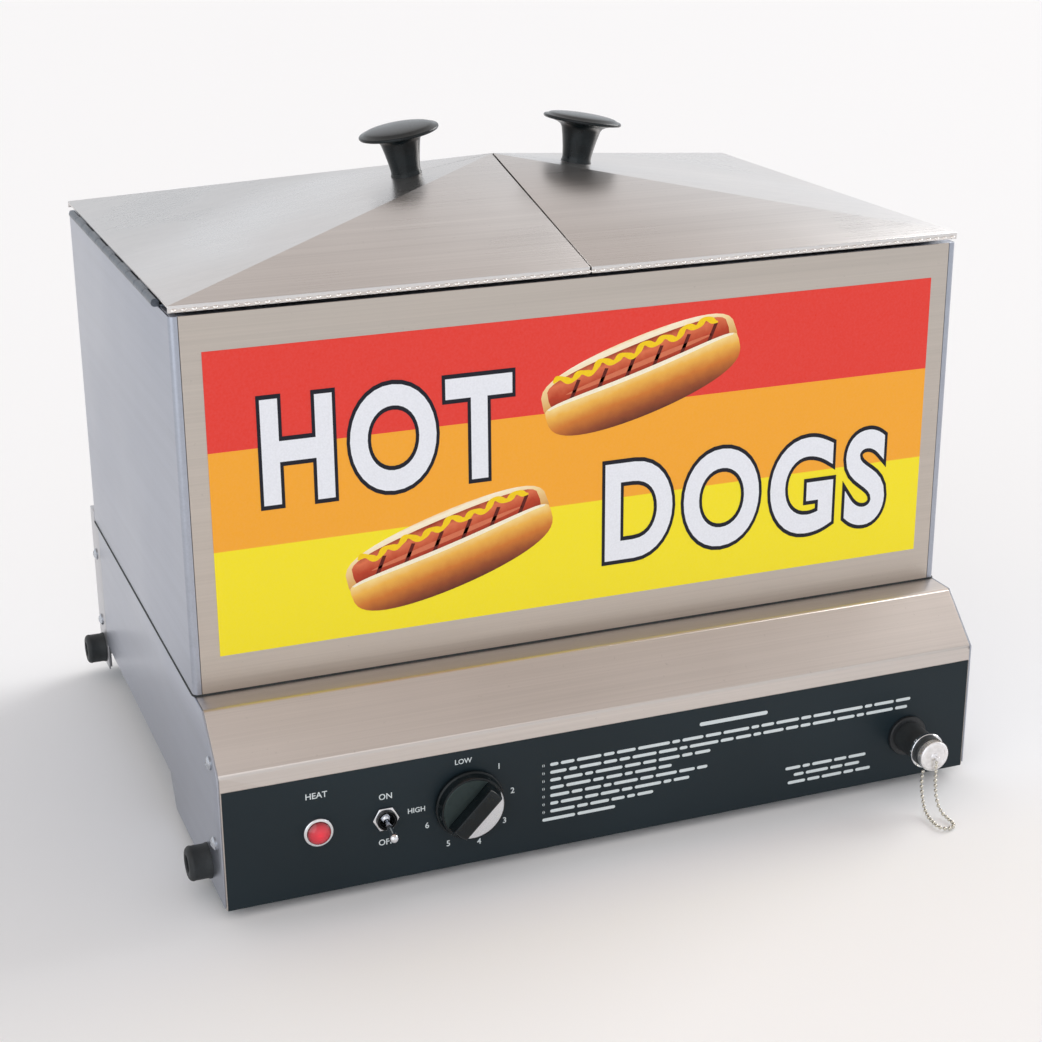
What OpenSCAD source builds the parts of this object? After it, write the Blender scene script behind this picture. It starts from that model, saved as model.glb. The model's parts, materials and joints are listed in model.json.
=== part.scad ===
// Counter-top hot dog steamer: a steel control base, a steaming box with a water tank
// under two wire racks, and a peaked roof split into two hinged lids.
// Millimetres. The origin is on the table, under the centre of the body: +X is to the
// right, +Y to the back and +Z up. Every piece is drawn in place, lids closed.

/* [Cabinet] */
// Width over the side panels
body_w = 484; // [380:1:620]
// Depth of the base, from the front panel to the rear cover
base_d = 378; // [310:1:470]
// Height of the deck that the box stands on
base_h = 117.5; // [105:0.5:145]
// Height of the box walls above the deck
box_h = 219.5; // [170:0.5:280]
// Depth of the steaming box
box_d = 315; // [250:1:325]
// How far the box stands back from the front panel
box_setback = 48; // [42:1:60]
// Size of the sloping fold between the front panel and the ledge, each way
slope_size = 28.5; // [15:0.5:35]
// Thickness of the steel sheet
sheet_t = 1.2; // [0.8:0.1:2]
// Gap under the front panel
skirt_gap = 6; // [4:0.5:12]
// Height of the raised rear edge of the side panels
side_step_z = 28; // [20:0.5:40]
// Width of the ledge that runs around inside the top of the box
rim_w = 14; // [13:0.5:20]

/* [Lids] */
// Rise of the roof from its edge to its peak
roof_rise = 40; // [25:0.5:60]
// Height of the roof's upright edge above the box
roof_edge = 6; // [5:0.5:12]
// Gap between the closed lids' lips and the box
lip_gap = 2; // [1:0.1:3]
// Gap between the two lids
lid_gap = 1.2; // [0.8:0.1:2]
// Radius of the hinge knuckles
knuckle_r = 2.3; // [2:0.1:2.4]
// Radius of the hinge pins
hinge_pin_r = 1.2; // [0.8:0.05:1.3]
// Number of knuckles on each hinge
knuckle_count = 11; // [5:2:15]
// Distance of each hinge's ends from the box's front and back
hinge_end = 25.5; // [20:0.5:70]

/* [Lid knobs] */
// Distance of each knob from the seam
knob_off = 57; // [40:1:90]
// Diameter of a knob's head
knob_head_d = 50; // [36:1:60]
// Length of a knob along its own axis
knob_len = 31.4; // [24:0.2:40]

/* [Control panel] */
// Height of the printed label
label_h = 73.5; // [68:0.5:80]
// Thickness of the printed label and of the graphic on the box
label_t = 0.4; // [0.2:0.05:0.8]
// Place of the pilot light from the centre
pilot_x = -186.5; // [-200:0.5:-175]
// Place of the switch from the centre
toggle_x = -146.5; // [-155:0.5:-140]
// Place of the thermostat knob from the centre
dial_x = -96; // [-100:0.5:60]
// Height of the pilot light, switch and dial above the table
controls_z = 46; // [44:0.5:50]
// Diameter of the thermostat knob
dial_d = 42; // [34:1:46]
// Radius of the thermostat's spindle
spindle_r = 3; // [2.5:0.1:4]

/* [Drain] */
// Place of the drain from the centre
drain_x = 197.5; // [150:0.5:210]
// Height of the drain above the table
drain_z = 35.5; // [34:0.5:38]
// How far the drain cap stands out from the front panel
drain_reach = 38; // [34:0.5:48]
// Bore radius of the drain pipe
drain_bore_r = 6; // [4:0.25:6.5]

/* [Water tank] */
// Width of the tank's flange at each side, out to the cabinet's side
tank_side = 24; // [22:0.5:70]
// Distance of the tank behind the front of the box
tank_front = 26; // [22:0.5:50]
// Distance of the tank from the back of the box
tank_rear = 17; // [17:0.5:50]
// How deep the tank hangs below the deck
tank_deep = 65.5; // [55:0.5:66]

/* [Racks] */
// Distance of the divider from the centre
divider_x = 40; // [0:1:80]
// Radius of the racks' cross bars
bar_r = 2.5; // [2:0.1:3]
// Radius of the racks' long wires
wire_r = 1.5; // [1:0.1:2]
// Spacing of the long wires
wire_pitch = 16; // [12:1:24]

/* [Feet] */
// Radius of a foot
foot_r = 14; // [10:0.5:15]
// Height of a foot
foot_h = 22.8; // [20:0.2:24]
// Radius of a side bumper
bumper_r = 10.5; // [8:0.5:11]
// How far a side bumper stands out
bumper_len = 13; // [8:0.5:20]

/* [Rear] */
// How far the cord gland stands out of the rear cover
gland_reach = 3; // [2:0.5:6]
// Bore radius of the cord gland
gland_bore_r = 4; // [3:0.25:5]
// Place of the cord gland from the centre
gland_x = -150; // [-180:1:-120]
// Height of the cord gland
gland_z = 62; // [50:1:80]

/* [Hidden] */
$fn = 48;

// Clearances
slip = 0.3;          // between pieces that move past each other
running = 0.05;      // radial, of a pin or shaft in its bore
screw_slack = 0.2;   // radial, of a screw in its hole

// Base, front to back and bottom to top
half_w = body_w / 2;
inner_half_w = half_w - sheet_t;
overall_d = drain_reach + base_d + gland_reach;
front_y = drain_reach - overall_d / 2;
rear_y = front_y + base_d;
ledge_y = front_y + slope_size;
crease_z = base_h - slope_size;
box_y0 = front_y + box_setback;
box_y1 = box_y0 + box_d;
box_yc = (box_y0 + box_y1) / 2;
rim_z = base_h + box_h;
ledge_back_y = box_y0 + 13.5;       // the ledge sheet runs on under the box's front wall
rear_flange_d = 28;                 // the rear cover's wrap around the sides
side_back_y = rear_y - rear_flange_d;
rear_top_z = base_h + 6.5;          // the rear cover stands up behind the box
rear_skirt_z = 9;
side_step_y = front_y + 126;        // where the side panels' bottom edge steps up
side_skirt_z = skirt_gap + 2;
plate_half_w = inner_half_w - sheet_t;

// Lids and hinges
lip_z = rim_z + lip_gap;
edge_z = rim_z + roof_edge;
peak_z = edge_z + roof_rise;
roof_pitch = atan2(roof_rise, half_w);
hinge_x = half_w + 1.5;             // the pins run just outside the box
hinge_z = rim_z + knuckle_r;
leaf_t = 1;
leaf_w = 12;
leaf_x0 = hinge_x - knuckle_r - 0.6;
hinge_len = box_d - 2 * hinge_end;
hinge_y0 = box_yc - hinge_len / 2;
knuckle_step = hinge_len / knuckle_count;
knuckle_gap = 0.5;
lid_flange = 10;
seam_web = 10;

// Lid knobs
knob_stem_r = 9.3;
knob_neck_r = 12.5;
knob_seat = edge_z + roof_rise * (half_w - knob_off) / half_w;
// The lid's thickness where a knob's screw goes through, along the screw
knob_seat_under = edge_z - sheet_t + roof_rise * (inner_half_w - knob_off) / inner_half_w;
lid_skin = (knob_seat - knob_seat_under) * cos(roof_pitch) + 0.02;
knob_screw_r = 2.5;
knob_screw_in = 15;

// Control panel, in the panel's own frame: x right, y up, z outwards from the label
panel_back = -label_t - sheet_t;
label_margin = 2;
bezel_r = 8.8;
bezel_h = 3;
lens_r = 6.7;
pilot_barrel_r = 6;
bushing_r = 6;
bushing_h = 4;
nut_r = 8;
nut_h = 2;
lever_pivot = -1;                   // depth of the lever's pivot
lever_pin_r = 0.8;                  // the cross pin that the lever rocks on
lever_pin_half = 4.2;
lever_len = 20;
lever_rest = 17;                    // the lever points this far down at rest
dial_gap = 0.8;
dial_h = 18;
dial_face = 9;
grip_w = 11;
inlay_t = 0.6;
dial_turn = 45;                     // the grip's angle at rest
spindle_in = 16;
thermostat_w = 46;
thermostat_h = 38;
thermostat_d = 30;

// Drain, in the same frame
drain_pipe_r = drain_bore_r + 1.5;
sleeve_r = drain_pipe_r + 2.5;
collar_r = sleeve_r + 3;
collar_h = 3;
stud_h = 3.6;
drain_stud_r = 1;
cap_face = drain_reach - label_t - stud_h;
cap_h = 5;
drain_ring_r = sleeve_r + 1.4;
plug_len = 12;
drain_stub_y = front_y + 100;

// Tank and racks
tank_t = 1.2;
tank_y0 = box_y0 + tank_front;
tank_y1 = box_y1 - tank_rear;
tank_half_w = half_w - tank_side;
tank_bottom = base_h - tank_deep;
tank_top = base_h + tank_t;         // the tank's flange rests on the deck
deck_hole_gap = 1.5;
rack_gap = 2;
divider_fold = 6;
divider_foot = 14;
bar_z = tank_top + slip + bar_r;
wire_z = bar_z + bar_r + wire_r;
divider_top = rim_z - sheet_t - 6;
element_r = 4;
element_z = tank_bottom - element_r;
element_half = 150;
element_bend = 60;
clamp_w = 20;

// Feet, bumpers and screws
foot_x = half_w - 37;
foot_front_y = front_y + 23.5;
foot_rear_y = rear_y - 48;
plate_z = foot_h;
plate_top = plate_z + sheet_t;
foot_screw_r = 2.5;
foot_nut_h = 3;
bumper_z = 20.5;
bumper_front_y = front_y + 35;
bumper_rear_y = rear_y - 13;
bumper_screw_r = 2;
panel_screw_r = 2;
side_screw_y = front_y + 14.5;
rear_screw_y = rear_y - 13;
screw_low_z = 42;
screw_high_z = 92;

// Rear
gland_flange_r = 9.5;
gland_barrel_r = 7;
gland_in = 14;

// The drain chain's route from the cap to the ring. Its points are offsets from the
// place on the table under the drain, where the front panel's face would meet it.
chain_r = 1.2;
chain_route = [
    [0, -36, 32.8], [0, -36, 27], [0, -36.2, 21], [0, -37, 15], [0, -38.5, 9.5],
    [0, -41.5, 5], [0.2, -46, 2.2], [0.6, -51, 1.4], [0.6, -56.5, 1.3],
    [-0.6, -60.5, 1.3], [-3.4, -62.5, 1.3], [-6.8, -62.5, 1.3], [-9.6, -60.5, 1.3],
    [-10.6, -56.5, 1.3], [-10.4, -51, 1.4], [-9.8, -46, 1.8], [-8.9, -41.2, 3],
    [-7.8, -36.8, 5.6], [-6.6, -33, 9.4], [-5.4, -29.8, 13.6], [-4.2, -27.6, 18],
    [-3, -26.4, 22.5]
];
// Routes inside the base
capillary_r = 1;
bulb_r = 4;
bulb_y = front_y + 111;
bulb_x0 = dial_x - 36;
bulb_len = 72;
wire_tube_r = 1.5;

function unit(v) = v / norm(v);
function tangent(p, i) =
    let (a = max(i - 1, 0), b = min(i + 1, len(p) - 1)) unit(p[b] - p[a]);
// One ring of points around a route's point, across the route's direction there
function ring(p, i, r, sides, up) =
    let (t = tangent(p, i), u = unit(cross(t, up)), v = cross(t, u))
    [for (k = [0 : sides - 1])
        let (a = 360 * k / sides) p[i] + r * (cos(a) * u + sin(a) * v)];

// A closed tube swept along a route
module tube(p, r, sides = 8, up = unit([1, 1, 1])) {
    n = len(p);
    points = [for (i = [0 : n - 1]) each ring(p, i, r, sides, up)];
    ends = [
        [for (k = [0 : sides - 1]) k],
        [for (k = [sides - 1 : -1 : 0]) (n - 1) * sides + k]
    ];
    walls = [for (i = [0 : n - 2], k = [0 : sides - 1])
        let (a = i * sides + k, b = i * sides + (k + 1) % sides)
        each [[a, a + sides, b + sides], [a, b + sides, b]]];
    polyhedron(points = points, faces = concat(ends, walls), convexity = 6);
}

// A block given by its limits
module block(x, y, z) {
    translate([x[0], y[0], z[0]]) cube([x[1] - x[0], y[1] - y[0], z[1] - z[0]]);
}

// An outline in Y and Z, extruded from x0 to x1
module across(x0, x1) {
    translate([x0, 0, 0]) rotate([90, 0, 90]) linear_extrude(x1 - x0) children();
}

// An outline in X and Z, extruded from y0 to y1
module along(y0, y1) {
    translate([0, y1, 0]) rotate([90, 0, 0]) linear_extrude(y1 - y0) children();
}

// Puts a piece on the front panel: its z axis points out of the label's face
module on_panel(x, z) {
    translate([x, front_y - label_t, z]) rotate([90, 0, 0]) children();
}

// Puts a piece on the outer side of the right or left side panel, its z axis outwards
module on_side(side, y, z, x = half_w) {
    translate([side * x, y, z]) rotate([0, 90 * side, 0]) children();
}

module mirror_left(side) {
    mirror([side < 0 ? 1 : 0, 0, 0]) children();
}

// A ring or tube along z
module pipe(outer, inner, h) {
    difference() {
        cylinder(r = outer, h = h);
        translate([0, 0, -1]) cylinder(r = inner, h = h + 2);
    }
}

// A pan head screw with its head's seat at z = 0, its shank going down
module pan_screw(r, shank) {
    translate([0, 0, -shank]) cylinder(r = r, h = shank);
    difference() {
        intersection() {
            cylinder(r = 2 * r, h = 1.3 * r);
            translate([0, 0, -1.6 * r]) sphere(r = 2.9 * r);
        }
        for (turn = [0, 90]) rotate(turn)
            translate([-1.1 * r, -0.18 * r, 0.8 * r]) cube([2.2 * r, 0.36 * r, r]);
    }
}

// The four places where the side panels and the rear cover are screwed on, on one side
side_screws = [for (y = [side_screw_y, rear_screw_y], z = [screw_low_z, screw_high_z]) [y, z]];
bumper_places = [for (y = [bumper_front_y, bumper_rear_y]) [y, bumper_z]];

// ---- Base ----

// Outline of the front sheet: upright face, slope and ledge, one sheet thick
module front_fold() {
    slope = atan2(crease_z < base_h ? base_h - crease_z : 0, ledge_y - front_y);
    low = sheet_t * tan((90 - slope) / 2);
    high = sheet_t * tan(slope / 2);
    polygon([
        [front_y, skirt_gap], [front_y, crease_z], [ledge_y, base_h], [ledge_back_y, base_h],
        [ledge_back_y, base_h - sheet_t], [ledge_y + high, base_h - sheet_t],
        [front_y + sheet_t, crease_z - low], [front_y + sheet_t, skirt_gap + sheet_t],
        [front_y + 7, skirt_gap + sheet_t], [front_y + 7, skirt_gap]
    ]);
}

module front_flange() {
    polygon([
        [front_y, skirt_gap], [front_y, crease_z], [ledge_y, base_h],
        [ledge_y + 10, base_h - sheet_t], [ledge_y + 10, crease_z - 6],
        [front_y + 25, crease_z - 20], [front_y + 25, skirt_gap]
    ]);
}

module panel_holes(depth) {
    on_panel(pilot_x, controls_z) translate([0, 0, -depth]) cylinder(r = pilot_barrel_r, h = 2 * depth);
    on_panel(toggle_x, controls_z) translate([0, 0, -depth]) cylinder(r = bushing_r, h = 2 * depth);
    on_panel(dial_x, controls_z) translate([0, 0, -depth]) cylinder(r = spindle_r + 1, h = 2 * depth);
    on_panel(drain_x, drain_z) translate([0, 0, -depth]) cylinder(r = sleeve_r, h = 2 * depth);
}

module side_holes(side, places, r) {
    for (p = places) on_side(side, p[0], p[1])
        translate([0, 0, -4 * sheet_t]) cylinder(r = r, h = 6 * sheet_t);
}

module front_panel() {
    color([0.72, 0.7, 0.68]) difference() {
        union() {
            across(-inner_half_w, inner_half_w) front_fold();
            for (side = [-1, 1]) mirror_left(side)
                across(plate_half_w, inner_half_w) front_flange();
        }
        panel_holes(10);
        for (side = [-1, 1]) side_holes(side, [for (z = [screw_low_z, screw_high_z])
            [side_screw_y, z]], panel_screw_r + screw_slack);
    }
}

module control_label() {
    color([0.13, 0.18, 0.2]) difference() {
        block([-half_w + label_margin, half_w - label_margin],
            [front_y - label_t, front_y], [skirt_gap, skirt_gap + label_h]);
        panel_holes(5);
    }
}

module side_panel(side) {
    color([0.68, 0.7, 0.75]) difference() {
        mirror_left(side) across(inner_half_w, half_w) polygon([
            [front_y, side_skirt_z], [front_y, crease_z], [ledge_y, base_h],
            [side_back_y, base_h], [side_back_y, side_step_z],
            [side_step_y + 12, side_step_z], [side_step_y, side_skirt_z]
        ]);
        side_holes(side, side_screws, panel_screw_r + screw_slack);
        side_holes(side, bumper_places, bumper_screw_r + screw_slack);
    }
}

module rear_cover() {
    slot_h = 40;
    color([0.68, 0.7, 0.75]) difference() {
        union() {
            block([-half_w, half_w], [rear_y - sheet_t, rear_y], [rear_skirt_z, rear_top_z]);
            block([-inner_half_w, inner_half_w], [box_y1 + 1, rear_y - sheet_t],
                [rear_top_z - sheet_t, rear_top_z]);
            for (side = [-1, 1]) mirror_left(side)
                across(inner_half_w, half_w) polygon([
                    [side_back_y + slip, rear_skirt_z], [rear_y, rear_skirt_z],
                    [rear_y, rear_top_z], [box_y1 + 1, rear_top_z],
                    [box_y1 + 1, base_h], [side_back_y + slip, base_h]
                ]);
        }
        translate([gland_x, rear_y + 1, gland_z]) rotate([90, 0, 0])
            cylinder(r = gland_barrel_r, h = sheet_t + 2);
        for (i = [0 : 9]) translate([20 + 16 * i, rear_y - 2 * sheet_t, gland_z - slot_h / 2])
            cube([5, 3 * sheet_t, slot_h]);
        for (side = [-1, 1]) side_holes(side, side_screws, panel_screw_r + screw_slack);
        for (side = [-1, 1]) side_holes(side, bumper_places, bumper_screw_r + screw_slack);
    }
}

module rear_posts() {
    color([0.6, 0.62, 0.66]) for (side = [-1, 1]) difference() {
        mirror_left(side) block([plate_half_w, inner_half_w],
            [side_back_y + 2, rear_y - sheet_t], [rear_skirt_z + 1, base_h - sheet_t - 1]);
        side_holes(side, side_screws, panel_screw_r + screw_slack);
        side_holes(side, bumper_places, bumper_screw_r + screw_slack);
    }
}

module bottom_plate() {
    flange_h = 16;
    color([0.6, 0.62, 0.66]) difference() {
        union() {
            block([-plate_half_w, plate_half_w], [front_y + 9, rear_y - sheet_t],
                [plate_z, plate_top]);
            for (side = [-1, 1]) mirror_left(side)
                block([plate_half_w - sheet_t, plate_half_w],
                    [front_y + 50, side_back_y], [plate_z, plate_z + flange_h]);
        }
        for (x = [-foot_x, foot_x], y = [foot_front_y, foot_rear_y])
            translate([x, y, plate_z - 1]) cylinder(r = foot_screw_r + screw_slack, h = 4);
    }
}

module deck_plate() {
    hole_x = tank_half_w + deck_hole_gap;
    color([0.68, 0.7, 0.75]) difference() {
        block([-inner_half_w, inner_half_w], [ledge_back_y, rear_y - sheet_t],
            [base_h - sheet_t, base_h]);
        block([-hole_x, hole_x], [tank_y0 - deck_hole_gap, tank_y1 + deck_hole_gap],
            [base_h - 2 * sheet_t, base_h + 1]);
    }
}

// ---- Feet and bumpers ----

module foot(x, y) {
    color([0.12, 0.12, 0.13]) translate([x, y, 0]) difference() {
        rotate_extrude() polygon([
            [0, 0], [foot_r - 2.5, 0], [foot_r - 1.5, 1], [foot_r, foot_h], [0, foot_h]
        ]);
        translate([0, 0, -1]) cylinder(r = foot_screw_r + 3.5, h = foot_h - 6);
        translate([0, 0, -1]) cylinder(r = foot_screw_r, h = foot_h + 2);
    }
}

module foot_screws() {
    seat = foot_h - 7;
    color([0.75, 0.76, 0.78]) for (x = [-foot_x, foot_x], y = [foot_front_y, foot_rear_y])
        translate([x, y, seat]) {
            rotate([180, 0, 0]) pan_screw(foot_screw_r, plate_top - seat + foot_nut_h + 1.5);
            translate([0, 0, plate_top - seat])
                cylinder(r = 2 * foot_screw_r, h = foot_nut_h, $fn = 6);
        }
}

module bumper(side, y) {
    color([0.12, 0.14, 0.14]) on_side(side, y, bumper_z) difference() {
        rotate_extrude() {
            square([bumper_r, bumper_len - 3]);
            square([bumper_r - 3, bumper_len]);
            translate([bumper_r - 3, bumper_len - 3]) intersection() {
                circle(r = 3);
                square(3);
            }
        }
        translate([0, 0, 5]) cylinder(r = 2 * bumper_screw_r + 1, h = bumper_len);
        translate([0, 0, -1]) cylinder(r = bumper_screw_r, h = bumper_len);
    }
}

module bumper_screws() {
    color([0.75, 0.76, 0.78]) for (side = [-1, 1], p = bumper_places)
        on_side(side, p[0], p[1]) translate([0, 0, 5]) pan_screw(bumper_screw_r, 12);
}

module panel_screws() {
    color([0.8, 0.81, 0.83]) for (side = [-1, 1], p = side_screws)
        on_side(side, p[0], p[1]) pan_screw(panel_screw_r, 7);
}

// ---- Steaming box ----

module box_wall_y(y) {
    color([0.72, 0.7, 0.68])
        block([-inner_half_w, inner_half_w], [y, y + sheet_t], [base_h, rim_z]);
}

module box_wall_x(side) {
    color([0.68, 0.7, 0.75]) mirror_left(side)
        block([inner_half_w, half_w], [box_y0, box_y1], [base_h, rim_z]);
}

module box_rim() {
    color([0.7, 0.72, 0.76]) difference() {
        block([-inner_half_w, inner_half_w], [box_y0 + sheet_t, box_y1 - sheet_t],
            [rim_z - sheet_t, rim_z]);
        block([-inner_half_w + rim_w, inner_half_w - rim_w],
            [box_y0 + sheet_t + rim_w, box_y1 - sheet_t - rim_w], [rim_z - 5, rim_z + 1]);
    }
}

module graphic_panel() {
    margin = 16.5;
    low = base_h + 22.5;
    high = rim_z - 20.5;
    color([0.96, 0.68, 0.19])
        block([-half_w + margin, half_w - margin], [box_y0 - label_t, box_y0], [low, high]);
}

module water_tank() {
    flange_x = inner_half_w - 0.8;
    color([0.66, 0.68, 0.72]) difference() {
        union() {
            block([-tank_half_w, tank_half_w], [tank_y0, tank_y1], [tank_bottom, tank_top]);
            block([-flange_x, flange_x], [box_y0 + sheet_t + 1, box_y1 - sheet_t - 1],
                [base_h, tank_top]);
        }
        block([-tank_half_w + tank_t, tank_half_w - tank_t],
            [tank_y0 + tank_t, tank_y1 - tank_t], [tank_bottom + tank_t, tank_top + 1]);
        translate([drain_x, drain_stub_y, tank_bottom - 1])
            cylinder(r = drain_bore_r, h = tank_t + 2);
    }
}

module divider() {
    fold = divider_fold;
    color([0.7, 0.72, 0.76]) {
        block([divider_x - sheet_t / 2, divider_x + sheet_t / 2],
            [box_y0 + sheet_t, box_y1 - sheet_t], [tank_top, divider_top]);
        block([divider_x - fold, divider_x + sheet_t / 2],
            [box_y0 + sheet_t, box_y1 - sheet_t], [divider_top, divider_top + sheet_t]);
        for (y = [box_y0 + sheet_t, box_y1 - 2 * sheet_t])
            block([divider_x - 2 * fold, divider_x], [y, y + sheet_t], [tank_top, divider_top]);
        block([divider_x - divider_foot, divider_x + divider_foot],
            [tank_y0 + tank_t, tank_y1 - tank_t], [base_h, tank_top]);
    }
}

// A lift-out rack of long wires over cross bars, between x0 and x1. It passes up
// through the box's rim, and rests on the tank's flange and on the divider's foot.
module rack(x0, x1) {
    y0 = box_y0 + sheet_t + rim_w + rack_gap;
    y1 = box_y1 - sheet_t - rim_w - rack_gap;
    left = x0 + rack_gap;
    right = x1 - rack_gap;
    count = floor((right - left - 2 * wire_r) / wire_pitch);
    start = (left + right - count * wire_pitch) / 2;
    for (y = [y0 + 2 * bar_r, (y0 + y1) / 2, y1 - 2 * bar_r])
        translate([left, y, bar_z]) rotate([0, 90, 0]) cylinder(r = bar_r, h = right - left);
    for (i = [0 : count]) translate([start + i * wire_pitch, y1, wire_z])
        rotate([90, 0, 0]) cylinder(r = wire_r, h = y1 - y0);
}

module bun_rack() {
    color([0.82, 0.83, 0.85]) rack(rim_w - inner_half_w, divider_x - divider_fold);
}

module hot_dog_rack() {
    color([0.82, 0.83, 0.85]) rack(divider_x + sheet_t / 2, inner_half_w - rim_w);
}

// ---- Heating ----

module heating_element() {
    color([0.35, 0.33, 0.32]) translate([0, box_yc, element_z]) {
        for (y = [-element_bend, element_bend]) translate([-element_half, y, 0])
            rotate([0, 90, 0]) cylinder(r = element_r, h = 2 * element_half);
        translate([element_half, 0, 0]) rotate(-90)
            rotate_extrude(angle = 180) translate([element_bend, 0]) circle(r = element_r);
        for (y = [-element_bend, element_bend]) translate([-element_half - 12, y, 0])
            rotate([0, 90, 0]) cylinder(r = 1.5, h = 14);
    }
}

module element_clamp() {
    reach = element_bend + 14;
    low = element_z - element_r;
    color([0.6, 0.62, 0.66]) for (x = [-90, 90]) translate([x - clamp_w / 2, box_yc, 0]) {
        translate([0, -reach, low - sheet_t]) cube([clamp_w, 2 * reach, sheet_t]);
        for (y = [-reach, reach - sheet_t]) translate([0, y, low])
            cube([clamp_w, sheet_t, tank_bottom - low]);
    }
}

module thermostat_body() {
    color([0.85, 0.84, 0.8]) on_panel(dial_x, controls_z) difference() {
        translate([-thermostat_w / 2, -thermostat_h / 2, panel_back - thermostat_d])
            cube([thermostat_w, thermostat_h, thermostat_d]);
        translate([0, 0, panel_back - spindle_in])
            cylinder(r = spindle_r + running, h = spindle_in + 1);
    }
}

// The sensing bulb under the tank and its capillary to the thermostat
module thermostat_bulb() {
    z = tank_bottom - bulb_r;
    back = front_y - panel_back - label_t + thermostat_d;
    route = [
        [bulb_x0, bulb_y, z], [bulb_x0 - 6, bulb_y - 3, z - 1], [bulb_x0 - 8, bulb_y - 10, z - 4],
        [bulb_x0 - 4, bulb_y - 20, z - 7], [bulb_x0 + 6, bulb_y - 30, z - 8],
        [bulb_x0 + 16, (bulb_y - 30 + back) / 2, z - 8], [dial_x - 10, back, z - 8]
    ];
    color([0.72, 0.45, 0.3]) {
        translate([bulb_x0, bulb_y, z]) rotate([0, 90, 0]) cylinder(r = bulb_r, h = bulb_len);
        tube(route, capillary_r, up = [0, 0, 1]);
    }
}

module thermostat_spindle() {
    color([0.8, 0.81, 0.83]) on_panel(dial_x, controls_z)
        translate([0, 0, panel_back - spindle_in + 0.5])
            cylinder(r = spindle_r, h = spindle_in - 0.5 - panel_back + dial_face - 2);
}

module thermostat_knob() {
    r = dial_d / 2;
    color([0.1, 0.11, 0.12]) on_panel(dial_x, controls_z) difference() {
        union() {
            translate([0, 0, dial_gap]) cylinder(r = r, h = 3);
            translate([0, 0, dial_gap + 3])
                cylinder(r1 = r - 1, r2 = r - 2.5, h = dial_face - dial_gap - 3);
            intersection() {
                rotate(dial_turn) translate([-r, -grip_w / 2, dial_face - 1])
                    cube([2 * r, grip_w, dial_h - dial_face + 1]);
                cylinder(r1 = r + 3, r2 = r - 5, h = dial_h);
            }
        }
        translate([0, 0, -1]) cylinder(r = spindle_r, h = dial_face - 1);
    }
}

// Two bright half-moons let into the knob's face beside the grip
module knob_inlays() {
    color([0.85, 0.86, 0.88]) on_panel(dial_x, controls_z) rotate(dial_turn)
        for (side = [-1, 1]) intersection() {
            translate([0, 0, dial_face]) cylinder(r = dial_d / 2 - 3.5, h = inlay_t);
            translate([-dial_d, side > 0 ? grip_w / 2 : -grip_w / 2 - dial_d, 0])
                cube([2 * dial_d, dial_d, dial_h]);
        }
}

// ---- Switch and pilot light ----

module toggle_body() {
    color([0.2, 0.2, 0.22]) on_panel(toggle_x, controls_z) difference() {
        union() {
            translate([-7, -11, panel_back - 22]) cube([14, 22, 22]);
            translate([0, 0, panel_back - 1]) cylinder(r = bushing_r, h = bushing_h + 1 - panel_back);
        }
        translate([0, 0, lever_pivot - 6]) cylinder(r = 4.6, h = 20);
    }
}

module toggle_nut() {
    color([0.82, 0.83, 0.85]) on_panel(toggle_x, controls_z) difference() {
        cylinder(r = nut_r, h = nut_h, $fn = 6);
        translate([0, 0, -1]) cylinder(r = bushing_r, h = nut_h + 2);
    }
}

module toggle_lever() {
    color([0.86, 0.87, 0.89]) on_panel(toggle_x, controls_z)
        translate([0, 0, lever_pivot]) rotate([lever_rest, 0, 0]) {
            sphere(r = 3.4);
            translate([-lever_pin_half, 0, 0]) rotate([0, 90, 0])
                cylinder(r = lever_pin_r, h = 2 * lever_pin_half);
            cylinder(r1 = 1.4, r2 = 2.8, h = lever_len - 2.8);
            translate([0, 0, lever_len - 2.8]) sphere(r = 2.8);
        }
}

module pilot_bezel() {
    color([0.85, 0.86, 0.88]) on_panel(pilot_x, controls_z) difference() {
        union() {
            cylinder(r1 = bezel_r, r2 = bezel_r - 0.8, h = bezel_h);
            translate([0, 0, panel_back - 18]) cylinder(r = pilot_barrel_r, h = 18 - panel_back);
        }
        translate([0, 0, bezel_h - 2]) cylinder(r = lens_r, h = 3);
        translate([0, 0, panel_back - 19]) cylinder(r = 4.5, h = 30);
    }
}

module pilot_lens() {
    dome = 2.6;
    dome_r = (lens_r * lens_r + dome * dome) / (2 * dome);
    half_arc = asin(lens_r / dome_r);
    base = bezel_h - 2;
    shoulder = bezel_h + 1;
    color([0.85, 0.12, 0.15]) on_panel(pilot_x, controls_z) rotate_extrude() polygon(concat(
        [[0, panel_back - 14], [4.5, panel_back - 14], [4.5, base], [lens_r, base]],
        [for (i = [8 : -1 : 1]) let (a = half_arc * i / 8)
            [dome_r * sin(a), shoulder + dome - dome_r * (1 - cos(a))]],
        [[0, shoulder + dome]]
    ));
}

// ---- Drain ----

module drain_pipe() {
    rise = tank_bottom - drain_z;
    run = front_y - label_t - drain_stub_y;
    end = cap_face - cap_h - slip;
    color([0.7, 0.71, 0.73]) on_panel(drain_x, drain_z) difference() {
        union() {
            translate([0, 0, run]) cylinder(r = drain_pipe_r, h = end - run);
            translate([0, 0, run]) sphere(r = drain_pipe_r);
            translate([0, 0, run]) rotate([-90, 0, 0]) cylinder(r = drain_pipe_r, h = rise);
        }
        translate([0, 0, run]) cylinder(r = drain_bore_r, h = end - run + 1);
        translate([0, 0, run]) sphere(r = drain_bore_r);
        translate([0, 0, run]) rotate([-90, 0, 0]) cylinder(r = drain_bore_r, h = rise + 1);
    }
}

module drain_collar() {
    color([0.12, 0.13, 0.14]) on_panel(drain_x, drain_z) pipe(collar_r, sleeve_r, collar_h);
}

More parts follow.
